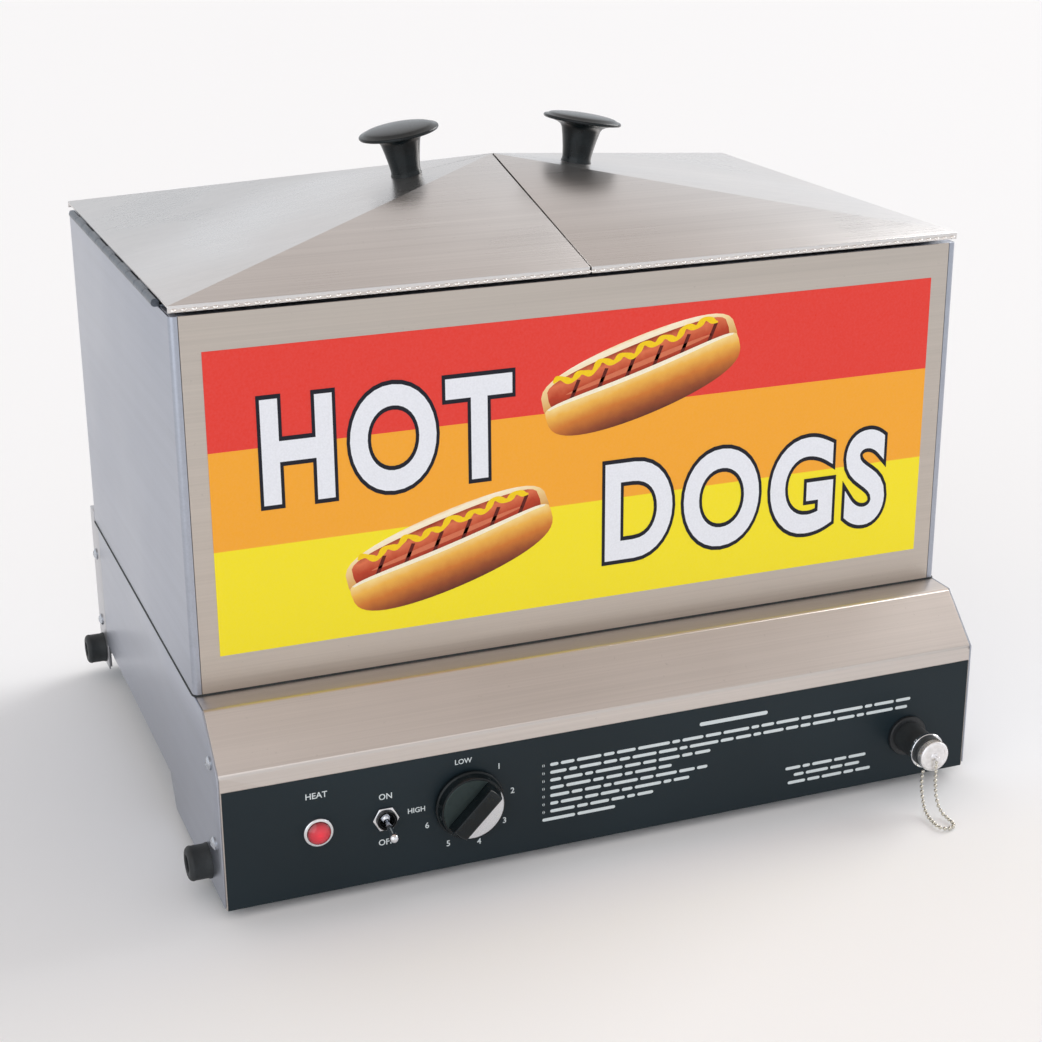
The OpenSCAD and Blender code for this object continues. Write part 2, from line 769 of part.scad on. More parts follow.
module drain_sleeve() {
    end = cap_face - cap_h - slip;
    color([0.1, 0.11, 0.12]) on_panel(drain_x, drain_z)
        translate([0, 0, panel_back - 4]) pipe(sleeve_r, drain_pipe_r, end + 4 - panel_back);
}

module drain_ring() {
    color([0.86, 0.87, 0.89]) on_panel(drain_x, drain_z)
        translate([0, 0, cap_face - cap_h - 6.5]) pipe(drain_ring_r, sleeve_r, 2.6);
}

module drain_cap() {
    color([0.88, 0.89, 0.9]) on_panel(drain_x, drain_z) {
        translate([0, 0, cap_face - cap_h]) cylinder(r = sleeve_r, h = cap_h - 0.8);
        translate([0, 0, cap_face - 0.8]) cylinder(r1 = sleeve_r, r2 = sleeve_r - 0.8, h = 0.8);
        translate([0, 0, cap_face - cap_h - plug_len])
            cylinder(r = drain_bore_r - running, h = plug_len);
        translate([0, 0, cap_face]) cylinder(r = drain_stud_r, h = stud_h - 1.2);
        translate([0, 0, cap_face + stud_h - 1.2]) cylinder(r = 2 * drain_stud_r, h = 1.2);
    }
}

module ball_chain() {
    place = [drain_x, front_y, 0];
    color([0.8, 0.8, 0.78]) tube([for (p = chain_route) place + p], chain_r);
}

// ---- Rear services ----

module cord_gland() {
    color([0.1, 0.1, 0.11]) translate([gland_x, rear_y, gland_z]) rotate([-90, 0, 0])
        difference() {
            union() {
                cylinder(r1 = gland_flange_r, r2 = gland_flange_r - 1, h = gland_reach);
                translate([0, 0, -gland_in]) cylinder(r = gland_barrel_r, h = gland_in + 1);
            }
            translate([0, 0, -gland_in - 1])
                cylinder(r = gland_bore_r, h = gland_in + gland_reach + 2);
        }
}

module terminal_block() {
    color([0.9, 0.89, 0.84]) for (i = [0 : 2]) difference() {
        translate([gland_x + 22 + 12.5 * i, rear_y - 19, plate_top]) cube([12, 14, 12]);
        translate([gland_x + 28 + 12.5 * i, rear_y - 12, plate_top + 5]) cylinder(r = 2.5, h = 8);
    }
}

// Three insulated leads: to the switch, to the thermostat and to the heating element
module wiring() {
    z = plate_top + 4;
    back = rear_y - 19;
    front = front_y - label_t - panel_back;
    leads = [
        [[gland_x + 28, back, z], [gland_x + 28, back - 12, z], [gland_x + 16, 60, z],
            [gland_x + 8, -40, z], [toggle_x, front + 44, z + 2], [toggle_x, front + 30, z + 12],
            [toggle_x, front + 22, controls_z]],
        [[gland_x + 40.5, back, z], [gland_x + 40.5, back - 12, z], [gland_x + 36, 60, z],
            [gland_x + 32, -60, z], [dial_x - 14, front + 46, z + 2],
            [dial_x - 8, front + thermostat_d, z + 6]],
        [[gland_x + 53, back, z], [gland_x + 53, back - 10, z], [gland_x + 40, back - 22, z + 4],
            [-element_half - 18, box_yc + element_bend + 14, z + 10],
            [-element_half - 20, box_yc + element_bend, element_z - 2],
            [-element_half - 12, box_yc + element_bend, element_z]]
    ];
    color([0.75, 0.15, 0.12]) for (lead = leads) tube(lead, wire_tube_r, up = unit([1, 0.3, 0.4]));
}

// ---- Lids ----

// The whole roof as a solid: sunk by drop, and its sides set in by inset
module roof(inset, drop) {
    low = lip_z - (inset > 0 || drop > 0 ? 50 : 0);
    w = half_w - inset;
    y0 = box_y0 + inset;
    y1 = box_y1 - inset;
    e = edge_z - drop;
    intersection() {
        along(y0, y1) polygon([[-w, low], [w, low], [w, e], [0, peak_z - drop], [-w, e]]);
        across(-w, w) polygon([[y0, low], [y1, low], [y1, e], [box_yc, peak_z - drop], [y0, e]]);
    }
}

module lid(side) {
    x0 = lid_gap / 2;
    leaf_top = hinge_z + knuckle_r;
    color([0.78, 0.78, 0.8]) mirror_left(side) difference() {
        union() {
            intersection() {
                block([x0, half_w], [box_y0, box_y1], [lip_z, peak_z]);
                difference() {
                    roof(0, 0);
                    roof(sheet_t, sheet_t);
                }
            }
            intersection() {
                block([x0, x0 + sheet_t], [box_y0, box_y1], [lip_z, peak_z]);
                difference() {
                    roof(0, 0);
                    roof(0, seam_web);
                }
            }
            for (y = [box_y0 + sheet_t, box_y1 - sheet_t - lid_flange])
                block([x0, leaf_x0 - leaf_w], [y, y + lid_flange], [lip_z, lip_z + sheet_t]);
            block([leaf_x0 - leaf_w, half_w - 0.5], [box_y0 + sheet_t, box_y1 - sheet_t],
                [leaf_top, leaf_top + sheet_t]);
        }
        block([half_w - sheet_t - 1, half_w + 1], [box_y0 + sheet_t, box_y1 - sheet_t],
            [lip_z - 1, leaf_top]);
        on_roof() translate([0, 0, -10]) cylinder(r = knob_screw_r, h = 20);
    }
}

// Puts a piece on the right lid's side slope, its z axis square to the slope
module on_roof() {
    translate([knob_off, box_yc, knob_seat]) rotate([0, roof_pitch, 0]) children();
}

module lid_knob(side) {
    r = knob_head_d / 2;
    color([0.1, 0.13, 0.14]) mirror_left(side) on_roof() difference() {
        rotate_extrude() polygon([
            [0, 0], [knob_stem_r + 0.5, 0], [knob_stem_r + 0.5, 0.8], [knob_stem_r, 1.8],
            [knob_stem_r, 4], [knob_neck_r, knob_len - 10], [knob_neck_r + 3, knob_len - 7.6],
            [r - 3, knob_len - 6.2], [r, knob_len - 4.6], [r - 0.6, knob_len - 3.4],
            [r * 0.75, knob_len - 1.6], [r * 0.4, knob_len - 0.4], [0, knob_len]
        ]);
        translate([0, 0, -1]) cylinder(r = knob_screw_r, h = knob_screw_in + 1);
    }
}

module knob_screw(side) {
    color([0.75, 0.76, 0.78]) mirror_left(side) on_roof()
        translate([0, 0, -lid_skin]) rotate([180, 0, 0])
            pan_screw(knob_screw_r, knob_screw_in + lid_skin);
}

// ---- Hinges ----

// The knuckles with even or odd numbers, and the tabs that join them to their leaf
module knuckles(odd, tab_z) {
    for (i = [odd : 2 : knuckle_count - 1]) {
        y0 = hinge_y0 + i * knuckle_step + knuckle_gap / 2;
        y1 = y0 + knuckle_step - knuckle_gap;
        difference() {
            union() {
                translate([hinge_x, y1, hinge_z]) rotate([90, 0, 0])
                    cylinder(r = knuckle_r, h = y1 - y0);
                block([leaf_x0 - 1, hinge_x], [y0, y1], [tab_z, tab_z + leaf_t]);
            }
            translate([hinge_x, y1 + 1, hinge_z]) rotate([90, 0, 0])
                cylinder(r = hinge_pin_r + running, h = y1 - y0 + 2);
        }
    }
}

module hinge_leaf(side, odd, z) {
    mirror_left(side) {
        block([leaf_x0 - leaf_w, leaf_x0], [hinge_y0, hinge_y0 + hinge_len], [z, z + leaf_t]);
        knuckles(odd, z);
    }
}

module hinge_fixed_leaves() {
    color([0.75, 0.76, 0.78]) for (side = [-1, 1]) hinge_leaf(side, 0, rim_z);
}

module moving_leaf(side) {
    color([0.75, 0.76, 0.78]) hinge_leaf(side, 1, hinge_z + knuckle_r - leaf_t);
}

module hinge_pins() {
    color([0.82, 0.83, 0.85]) for (side = [-1, 1])
        translate([side * hinge_x, hinge_y0 + hinge_len, hinge_z]) rotate([90, 0, 0])
            cylinder(r = hinge_pin_r, h = hinge_len);
}

front_panel();
control_label();
side_panel(-1);  // left_side_panel
side_panel(1);  // right_side_panel
rear_cover();
rear_posts();
bottom_plate();
deck_plate();
foot(-foot_x, foot_front_y);  // foot_front_left
foot(foot_x, foot_front_y);  // foot_front_right
foot(-foot_x, foot_rear_y);  // foot_rear_left
foot(foot_x, foot_rear_y);  // foot_rear_right
foot_screws();
bumper(-1, bumper_front_y);  // bumper_front_left
bumper(1, bumper_front_y);  // bumper_front_right
bumper(-1, bumper_rear_y);  // bumper_rear_left
bumper(1, bumper_rear_y);  // bumper_rear_right
bumper_screws();
panel_screws();
box_wall_y(box_y0);  // box_front_wall
box_wall_y(box_y1 - sheet_t);  // box_back_wall
box_wall_x(-1);  // box_left_wall
box_wall_x(1);  // box_right_wall
box_rim();
graphic_panel();
water_tank();
divider();
heating_element();
element_clamp();
thermostat_body();
thermostat_bulb();
thermostat_spindle();
thermostat_knob();
knob_inlays();
toggle_body();
toggle_nut();
toggle_lever();
pilot_bezel();
pilot_lens();
drain_pipe();
drain_collar();
drain_sleeve();
drain_ring();
drain_cap();
ball_chain();
cord_gland();
terminal_block();
wiring();
bun_rack();
hot_dog_rack();
lid(-1);  // left_lid
lid(1);  // right_lid
lid_knob(-1);  // left_lid_knob
lid_knob(1);  // right_lid_knob
knob_screw(-1);  // left_knob_screw
knob_screw(1);  // right_knob_screw
hinge_fixed_leaves();
moving_leaf(-1);  // left_hinge_leaf
moving_leaf(1);  // right_hinge_leaf
hinge_pins();
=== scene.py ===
"""Looks for a counter-top hot dog steamer, built piece by piece around its CAD frame."""

import json
import math

import bmesh
import bpy
from bpy.props import FloatProperty, FloatVectorProperty, IntProperty, PointerProperty
from mathutils import Matrix, Vector

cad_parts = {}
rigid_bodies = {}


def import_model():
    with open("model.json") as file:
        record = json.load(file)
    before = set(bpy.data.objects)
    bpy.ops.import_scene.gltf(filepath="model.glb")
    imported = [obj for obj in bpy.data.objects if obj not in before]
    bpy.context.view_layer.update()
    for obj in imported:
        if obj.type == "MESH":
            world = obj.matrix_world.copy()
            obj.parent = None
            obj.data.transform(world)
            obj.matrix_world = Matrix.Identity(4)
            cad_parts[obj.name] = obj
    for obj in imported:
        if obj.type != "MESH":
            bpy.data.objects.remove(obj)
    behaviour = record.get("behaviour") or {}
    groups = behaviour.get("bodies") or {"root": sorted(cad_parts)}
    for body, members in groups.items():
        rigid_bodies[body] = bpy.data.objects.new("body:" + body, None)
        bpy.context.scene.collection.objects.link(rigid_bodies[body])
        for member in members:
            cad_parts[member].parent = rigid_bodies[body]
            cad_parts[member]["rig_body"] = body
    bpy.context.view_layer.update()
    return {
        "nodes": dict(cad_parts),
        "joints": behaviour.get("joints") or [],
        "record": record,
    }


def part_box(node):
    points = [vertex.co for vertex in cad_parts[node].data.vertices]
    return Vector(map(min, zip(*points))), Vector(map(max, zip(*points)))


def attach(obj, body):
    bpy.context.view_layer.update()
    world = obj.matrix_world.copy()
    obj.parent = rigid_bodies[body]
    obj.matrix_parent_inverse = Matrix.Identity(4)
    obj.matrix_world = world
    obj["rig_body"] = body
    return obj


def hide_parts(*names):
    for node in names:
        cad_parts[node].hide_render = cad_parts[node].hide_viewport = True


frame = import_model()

bl_info = {
    "name": "Hot dog steamer",
    "version": (1, 0, 0),
    "blender": (4, 5, 0),
    "location": "View3D > Sidebar > Steamer",
    "description": "Dresses the steamer's CAD frame with finished pieces and materials",
    "category": "Object",
}

MM = 0.001
FRONT = Vector((0, -1, 0))


def mm(points):
    """Pairs in millimetres as pairs in metres."""
    return [(a * MM, b * MM) for a, b in points]


# ---- Places taken from the frame ----

def middle(node):
    """The middle of a CAD node's box."""
    low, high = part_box(node)
    return (low + high) / 2


def axis_of(joint):
    """A joint's place and axis, as the record states them."""
    made = next(j for j in frame["joints"] if j["name"] == joint)
    return Vector(made.get("pos_m", (0, 0, 0))), Vector(made["axis"])


GRAPHIC_LOW, GRAPHIC_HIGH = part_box("graphic_panel")
PILOT = middle("pilot_bezel")
DIAL = axis_of("thermostat_turn")[0]
TOGGLE = axis_of("toggle_throw")[0]
DRAIN = axis_of("drain_cap_turn")[0]
PANEL_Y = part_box("control_label")[0].y      # the label's face, which the controls stand on


def srgb(red, green, blue):
    """A linear colour from one given in 0 to 255."""
    def linear(value):
        value /= 255
        return value / 12.92 if value <= 0.04045 else ((value + 0.055) / 1.055) ** 2.4
    return (linear(red), linear(green), linear(blue), 1.0)


# ---- Sizes and colours that a user may change ----

class SteamerSizes(bpy.types.PropertyGroup):
    sheet_bend: FloatProperty(name="Sheet bend", description="Outer radius of the folds in the front sheet",
                              default=1.6 * MM, subtype="DISTANCE")
    edge_ease: FloatProperty(name="Eased edge", description="Rounding on the cut edges of the steel",
                             default=0.35 * MM, subtype="DISTANCE")
    hem_bead: FloatProperty(name="Hem bead", description="Radius of the beads along the lids' hems",
                            default=1.0 * MM, subtype="DISTANCE")
    hem_pitch: FloatProperty(name="Hem pitch", description="Spacing of the beads along the hems",
                             default=5.6 * MM, subtype="DISTANCE")
    chain_bead: FloatProperty(name="Chain bead", description="Radius of the drain chain's beads",
                              default=1.2 * MM, subtype="DISTANCE")
    chain_pitch: FloatProperty(name="Chain pitch", description="Spacing of the drain chain's beads",
                               default=3.1 * MM, subtype="DISTANCE")
    print_t: FloatProperty(name="Print thickness", description="How far the ink stands on the label",
                           default=0.06 * MM, subtype="DISTANCE")
    letter_h: FloatProperty(name="Letter height", description="Height of the big letters on the graphic",
                            default=58 * MM, subtype="DISTANCE")
    knurls: IntProperty(name="Knurls", description="Ridges around the drain cap", default=40)


class SteamerColours(bpy.types.PropertyGroup):
    red_band: FloatVectorProperty(name="Red band", description="Top band of the graphic", size=4,
                                  subtype="COLOR", default=srgb(230, 52, 38))
    orange_band: FloatVectorProperty(name="Orange band", description="Middle band of the graphic", size=4,
                                     subtype="COLOR", default=srgb(248, 168, 34))
    yellow_band: FloatVectorProperty(name="Yellow band", description="Lower band of the graphic", size=4,
                                     subtype="COLOR", default=srgb(249, 229, 14))
    label: FloatVectorProperty(name="Label", description="Ground of the control label", size=4,
                               subtype="COLOR", default=srgb(25, 37, 43))
    lens: FloatVectorProperty(name="Pilot lens", description="Colour of the pilot light", size=4,
                              subtype="COLOR", default=srgb(214, 26, 50))


# ---- Shader maths ----

class Sock:
    """A node's output socket, or a number, on which arithmetic adds Math nodes."""

    def __init__(self, look, link):
        self.look = look
        self.link = link

    def _math(self, operation, first, second):
        return self.look.out("ShaderNodeMath", {"operation": operation}, {0: first, 1: second})

    def __add__(self, other):
        return self._math("ADD", self, other)

    def __radd__(self, other):
        return self._math("ADD", other, self)

    def __sub__(self, other):
        return self._math("SUBTRACT", self, other)

    def __rsub__(self, other):
        return self._math("SUBTRACT", other, self)

    def __mul__(self, other):
        return self._math("MULTIPLY", self, other)

    def __rmul__(self, other):
        return self._math("MULTIPLY", other, self)

    def __truediv__(self, other):
        return self._math("DIVIDE", self, other)

    def above(self, other):
        return self._math("GREATER_THAN", self, other)

    def spread(self, low, high, to_low=0.0, to_high=1.0):
        """This value, mapped from low..high to to_low..to_high and held there."""
        return self.look.out("ShaderNodeMapRange", {"clamp": True},
                             {"Value": self, "From Min": low, "From Max": high,
                              "To Min": to_low, "To Max": to_high})


class Look:
    """A material under construction: one Principled shader and the nodes that feed it."""

    def __init__(self, name):
        self.material = bpy.data.materials.new(name)
        self.material.use_nodes = True
        self.tree = self.material.node_tree
        self.tree.nodes.clear()
        self.shader = self.tree.nodes.new("ShaderNodeBsdfPrincipled")
        end = self.tree.nodes.new("ShaderNodeOutputMaterial")
        self.tree.links.new(self.shader.outputs["BSDF"], end.inputs["Surface"])

    def node(self, kind, settings=None, sockets=None):
        """Any node: its settings are set first, then its sockets' values or links."""
        made = self.tree.nodes.new(kind)
        for name, value in (settings or {}).items():
            if name == "stops":
                ramp = made.color_ramp
                while len(ramp.elements) < len(value):
                    ramp.elements.new(1.0)
                for element, (at, colour) in zip(ramp.elements, value):
                    element.position = at
                    element.color = colour
            else:
                setattr(made, name, value)
        for name, value in (sockets or {}).items():
            self.feed(made.inputs[name], value)
        return made

    def feed(self, socket, value):
        if isinstance(value, Sock):
            self.tree.links.new(value.link, socket)
        else:
            socket.default_value = value

    def out(self, kind, settings=None, sockets=None, output=0):
        return Sock(self, self.node(kind, settings, sockets).outputs[output])

    def place(self, scale=(1, 1, 1), turn=(0, 0, 0), shift=(0, 0, 0)):
        """Object coordinates, moved, turned and scaled."""
        here = self.out("ShaderNodeTexCoord", output="Object")
        return self.out("ShaderNodeMapping", {}, {"Vector": here, "Location": shift,
                                                  "Rotation": turn, "Scale": scale})

    def apart(self, vector, letter):
        return self.out("ShaderNodeSeparateXYZ", {}, {"Vector": vector}, output=letter)

    def off_axis(self, vector):
        """How far a place is from the line that runs front to back through the origin."""
        flat = self.out("ShaderNodeVectorMath", {"operation": "MULTIPLY"}, {0: vector, 1: (1, 0, 1)})
        return self.out("ShaderNodeVectorMath", {"operation": "LENGTH"}, {0: flat}, output="Value")

    def noise(self, vector, scale, detail=3.0, rough=0.5):
        return self.out("ShaderNodeTexNoise", {}, {"Vector": vector, "Scale": scale,
                                                   "Detail": detail, "Roughness": rough})

    def mix(self, amount, first, second, way="MIX"):
        made = self.node("ShaderNodeMix", {"data_type": "RGBA", "blend_type": way})
        self.feed(made.inputs[0], amount)
        self.feed(made.inputs[6], first)
        self.feed(made.inputs[7], second)
        return Sock(self, made.outputs[2])

    def ramp(self, value, *stops):
        return self.out("ShaderNodeValToRGB", {"stops": stops}, {"Fac": value})

    def bump(self, height, distance, strength=1.0):
        self.set(Normal=self.out("ShaderNodeBump", {}, {"Height": height, "Distance": distance,
                                                        "Strength": strength}))

    def set(self, **sockets):
        for name, value in sockets.items():
            self.feed(self.shader.inputs[name.replace("_", " ")], value)
        return self


MADE = {}


def finish(name):
    """The material of that name, made once, as the table of finishes says."""
    if name not in MADE:
        maker, *values = FINISHES[name]
        MADE[name] = maker(name, *values).material
    return MADE[name]


def shade(colour, by):
    return (colour[0] * by, colour[1] * by, colour[2] * by, 1.0)


# ---- Finishes ----

def brushed(name, tint, grain, rough=0.3, depth=0.00002):
    """Stainless sheet brushed along one axis: fine streaks, faint cloudiness and handling marks."""
    look = Look(name)
    along = {"x": (4, 900, 900), "y": (900, 4, 900), "z": (900, 900, 4)}[grain]
    coarse = {"x": (2, 160, 160), "y": (160, 2, 160), "z": (160, 160, 2)}[grain]
    streak = look.noise(look.place(scale=along), 1.0, 2.0, 0.6)
    band = look.noise(look.place(scale=coarse), 1.0, 3.0, 0.55)
    cloud = look.noise(look.place(), 7.0, 3.0, 0.55)
    speck = look.noise(look.place(), 420.0, 2.0, 0.5)
    mark = speck.spread(0.70, 0.76)
    tone = 0.5 * streak + 0.3 * band + 0.2 * cloud
    sheet = look.ramp(tone, (0.36, shade(tint, 0.93)), (0.64, shade(tint, 1.04)))
    look.set(
        Base_Color=look.mix(mark * 0.25, sheet, shade(tint, 0.6)),
        Metallic=1.0,
        Roughness=(rough - 0.07) + 0.1 * streak + 0.1 * cloud.spread(0.35, 0.7),
    )
    look.bump(streak + 0.2 * band, depth, 0.35)
    return look


def hem_steel(name):
    look = Look(name)
    wear = look.noise(look.place(), 260.0, 2.0)
    look.set(Base_Color=look.ramp(wear, (0.3, srgb(236, 231, 226)), (0.7, srgb(252, 249, 245))),
             Metallic=1.0, Roughness=0.2 + 0.14 * wear)
    return look


def bright_plate(name, tint=srgb(206, 208, 212), rough=0.16):
    """Zinc or nickel plate: bright, with a slight bloom."""
    look = Look(name)
    bloom = look.noise(look.place(), 300.0, 3.0, 0.6)
    look.set(Base_Color=look.ramp(bloom, (0.3, shade(tint, 0.84)), (0.7, shade(tint, 1.05))),
             Metallic=1.0, Roughness=rough + 0.16 * bloom.spread(0.4, 0.75))
    look.bump(bloom, 0.00003, 0.4)
    return look


FOIL_RINGS = 22000.0                  # radians of the rings' wave in a metre


def foil(name):
    """Spun aluminium foil: fine rings around the dial's centre."""
    look = Look(name)
    here = look.place(shift=(-DIAL.x, 0, -DIAL.z))
    out = look.off_axis(here)
    ring = look.out("ShaderNodeMath", {"operation": "SINE"}, {0: out * FOIL_RINGS})
    look.set(Base_Color=look.ramp(0.5 + 0.5 * ring, (0.0, srgb(206, 210, 216)), (1.0, srgb(244, 245, 248))),
             Metallic=1.0, Roughness=0.24 + 0.06 * ring)
    look.bump(ring, 0.00001, 0.6)
    return look


def label_film(name):
    """Dark printed film with a satin lacquer over it."""
    look = Look(name)
    ground = tuple(bpy.context.scene.steamer_colours.label)
    weave = look.noise(look.place(), 1500.0, 2.0, 0.5)
    cloud = look.noise(look.place(), 9.0, 2.0, 0.5)
    look.set(Base_Color=look.ramp(cloud, (0.3, shade(ground, 0.88)), (0.7, shade(ground, 1.15))),
             Roughness=0.36 + 0.12 * weave + 0.06 * cloud, Specular_IOR_Level=0.22,
             Coat_Weight=0.06, Coat_Roughness=0.22)
    look.bump(weave, 0.00002, 0.35)
    return look


ORANGE_FROM, RED_FROM = 0.352, 0.677  # where the bands begin, as shares of the graphic's height


def graphic_film(name):
    """Gloss film in three flat bands."""
    look = Look(name)
    colours = bpy.context.scene.steamer_colours
    tall = GRAPHIC_HIGH.z - GRAPHIC_LOW.z
    height = look.apart(look.place(shift=(0, 0, -GRAPHIC_LOW.z)), "Z") / tall
    lower = height.above(ORANGE_FROM)
    upper = height.above(RED_FROM)
    flat = look.mix(upper, look.mix(lower, tuple(colours.yellow_band), tuple(colours.orange_band)),
                    tuple(colours.red_band))
    fleck = look.noise(look.place(), 700.0, 2.0)
    look.set(Base_Color=look.mix(0.04 * fleck, flat, (1, 1, 1, 1)), Roughness=0.26 + 0.06 * fleck,
             Specular_IOR_Level=0.2, Coat_Weight=0.06, Coat_Roughness=0.12)
    look.bump(look.noise(look.place(), 45.0, 1.0), 0.00006, 0.25)
    return look


def ink(name, colour, gloss=0.35):
    look = Look(name)
    patch = look.noise(look.place(), 900.0, 2.0)
    look.set(Base_Color=look.ramp(patch, (0.3, shade(colour, 0.93)), (0.7, colour)),
             Roughness=gloss + 0.1 * patch, Specular_IOR_Level=0.22)
    return look


def across_print(name, stops, mottled=0.12):
    """Ink shaded from the lower to the upper side of a shape, along its own UV map."""
    look = Look(name)
    uv = look.out("ShaderNodeUVMap", {"uv_map": "shape"})
    cloud = look.noise(look.place(), 160.0, 3.0, 0.6)
    at = look.apart(uv, "Y") + mottled * (cloud - 0.5)
    look.set(Base_Color=look.ramp(at, *stops), Roughness=0.26 + 0.08 * cloud,
             Specular_IOR_Level=0.2)
    return look


def rubber(name):
    look = Look(name)
    grain = look.noise(look.place(), 900.0, 3.0, 0.6)
    dust = look.noise(look.place(), 60.0, 3.0, 0.6)
    look.set(Base_Color=look.ramp(dust, (0.35, srgb(26, 30, 32)), (0.75, srgb(48, 52, 54))),
             Roughness=0.5 + 0.2 * grain)
    look.bump(grain, 0.00008, 0.5)
    return look


def gloss_phenolic(name):
    """Polished black moulding with a faint green-blue depth, as on the lid knobs and the dial."""
    look = Look(name)
    swirl = look.noise(look.place(), 90.0, 3.0, 0.6)
    look.set(Base_Color=look.ramp(swirl, (0.3, srgb(9, 14, 16)), (0.7, srgb(22, 30, 33))),
             Roughness=0.2 + 0.1 * swirl, Specular_IOR_Level=0.2, Coat_Weight=0.18, Coat_Roughness=0.05)
    look.bump(swirl, 0.00005, 0.25)
    return look


def black_moulding(name):
    look = Look(name)
    grain = look.noise(look.place(), 1200.0, 2.0, 0.5)
    look.set(Base_Color=look.ramp(grain, (0.3, srgb(22, 24, 26)), (0.7, srgb(38, 41, 44))),
             Roughness=0.38 + 0.15 * grain)
    look.bump(grain, 0.00004, 0.5)
    return look


def cream_moulding(name):
    look = Look(name)
    grain = look.noise(look.place(), 300.0, 3.0, 0.6)
    look.set(Base_Color=look.ramp(grain, (0.3, srgb(196, 186, 158)), (0.7, srgb(224, 216, 192))),
             Roughness=0.42 + 0.15 * grain)
    return look


LENS_REACH = 6.8 * MM                 # radius at which the lens is darkest


def red_lens(name):
    """Faceted translucent red: deeper at the rim, brighter where the lamp sits behind it."""
    look = Look(name)
    colour = tuple(bpy.context.scene.steamer_colours.lens)
    here = look.place(shift=(-PILOT.x, 0, -PILOT.z))
    out = look.off_axis(here)
    cell = look.out("ShaderNodeTexVoronoi", {}, {"Vector": here, "Scale": 520.0})
    depth = (out / LENS_REACH).spread(0.0, 1.0)
    look.set(Base_Color=look.ramp(depth, (0.0, shade(colour, 1.15)), (0.75, shade(colour, 0.8)),
                                  (1.0, shade(colour, 0.35))),
             Roughness=0.1 + 0.1 * cell, Coat_Weight=0.8, Coat_Roughness=0.05,
             Emission_Color=look.ramp(depth, (0.0, shade(colour, 1.0)), (1.0, shade(colour, 0.1))),
             Emission_Strength=0.25)
    look.bump(cell, 0.0002, 0.35)
    return look


def element_sheath(name):
    look = Look(name)
    scale = look.noise(look.place(), 140.0, 4.0, 0.65)
    look.set(Base_Color=look.ramp(scale, (0.3, srgb(64, 54, 48)), (0.6, srgb(96, 84, 74)),
                                  (0.8, srgb(122, 98, 76))),
             Metallic=0.7, Roughness=0.45 + 0.2 * scale)
    look.bump(scale, 0.0001, 0.4)
    return look


def copper_tube(name):
    look = Look(name)
    age = look.noise(look.place(), 120.0, 3.0, 0.6)
    look.set(Base_Color=look.ramp(age, (0.3, srgb(140, 84, 58)), (0.7, srgb(208, 134, 98))),
             Metallic=1.0, Roughness=0.25 + 0.2 * age)
    return look


def red_insulation(name):
    look = Look(name)
    grain = look.noise(look.place(), 500.0, 2.0)
    look.set(Base_Color=look.ramp(grain, (0.3, srgb(140, 26, 20)), (0.7, srgb(176, 40, 30))),
             Roughness=0.45 + 0.12 * grain)
    return look


# Each finish by name: the function that makes it, and the values that set it apart
FINISHES = {
    # Painted light: the front, panel and side finishes are one stainless, tinted warm on the front and panel
    # sheets and cool blue-grey on the side sheets, standing in for the warm and cool light on those faces
    "front_steel": (brushed, srgb(196, 186, 176), "x", 0.34),
    "panel_steel": (brushed, srgb(207, 199, 193), "x", 0.34),
    "rear_steel": (brushed, srgb(192, 192, 195), "x", 0.36),
    "side_steel": (brushed, srgb(172, 176, 186), "y", 0.34),
    "lid_steel": (brushed, srgb(219, 216, 214), "x", 0.28),
    "plain_steel": (brushed, srgb(150, 152, 156), "x", 0.42),
    "tank_steel": (brushed, srgb(176, 180, 184), "x", 0.28),
    "hem_steel": (hem_steel,),
    # Painted shade: the hinges' plate is tinted dark for the shadowed strip along the lids' hinge edges
    "hinge_plate": (bright_plate, srgb(112, 118, 126), 0.34),
    # Painted shade: a dark grey-green copy of the plate for the dial inlay that reflects the dark room
    "worn_foil": (bright_plate, srgb(60, 70, 70), 0.42),
    "screw_plate": (bright_plate, srgb(196, 200, 206), 0.2),
    "chrome_trim": (bright_plate, srgb(232, 234, 238), 0.06),
    "chain_plate": (bright_plate, srgb(212, 208, 196), 0.12),
    "rack_plate": (bright_plate, srgb(206, 208, 210), 0.18),
    "cap_plate": (bright_plate, srgb(244, 243, 244), 0.38),
    "foil": (foil,),
    "label_film": (label_film,),
    "graphic_film": (graphic_film,),
    "white_ink": (ink, srgb(214, 222, 224), 0.4),
    "letter_white": (ink, srgb(238, 240, 246), 0.25),
    "letter_edge": (ink, srgb(24, 26, 38), 0.25),
    "mustard_ink": (ink, srgb(250, 210, 28), 0.25),
    "bun_front_ink": (across_print, (
        (0.0, srgb(98, 48, 36)), (0.2, srgb(150, 78, 44)),
        (0.45, srgb(208, 122, 52)), (0.7, srgb(240, 182, 80)),
        (0.9, srgb(250, 224, 154)), (1.0, srgb(252, 240, 212)))),
    "bun_back_ink": (across_print, (
        (0.0, srgb(214, 150, 70)), (0.55, srgb(246, 216, 156)),
        (0.85, srgb(253, 241, 214)), (1.0, srgb(244, 196, 110)))),
    "bun_lip_ink": (ink, srgb(254, 244, 218), 0.3),
    "sausage_ink": (across_print, (
        (0.0, srgb(120, 34, 22)), (0.45, srgb(186, 66, 40)),
        (0.75, srgb(222, 116, 78)), (1.0, srgb(150, 50, 30))), 0.3),
    "sausage_gloss_ink": (ink, srgb(216, 118, 84), 0.2),
    "sausage_slit_ink": (ink, srgb(96, 30, 22), 0.3),
    "rubber": (rubber,),
    "gloss_phenolic": (gloss_phenolic,),
    "black_moulding": (black_moulding,),
    "cream_moulding": (cream_moulding,),
    "red_lens": (red_lens,),
    "element_sheath": (element_sheath,),
    "copper_tube": (copper_tube,),
    "red_insulation": (red_insulation,),
}


# ---- Making and placing pieces ----

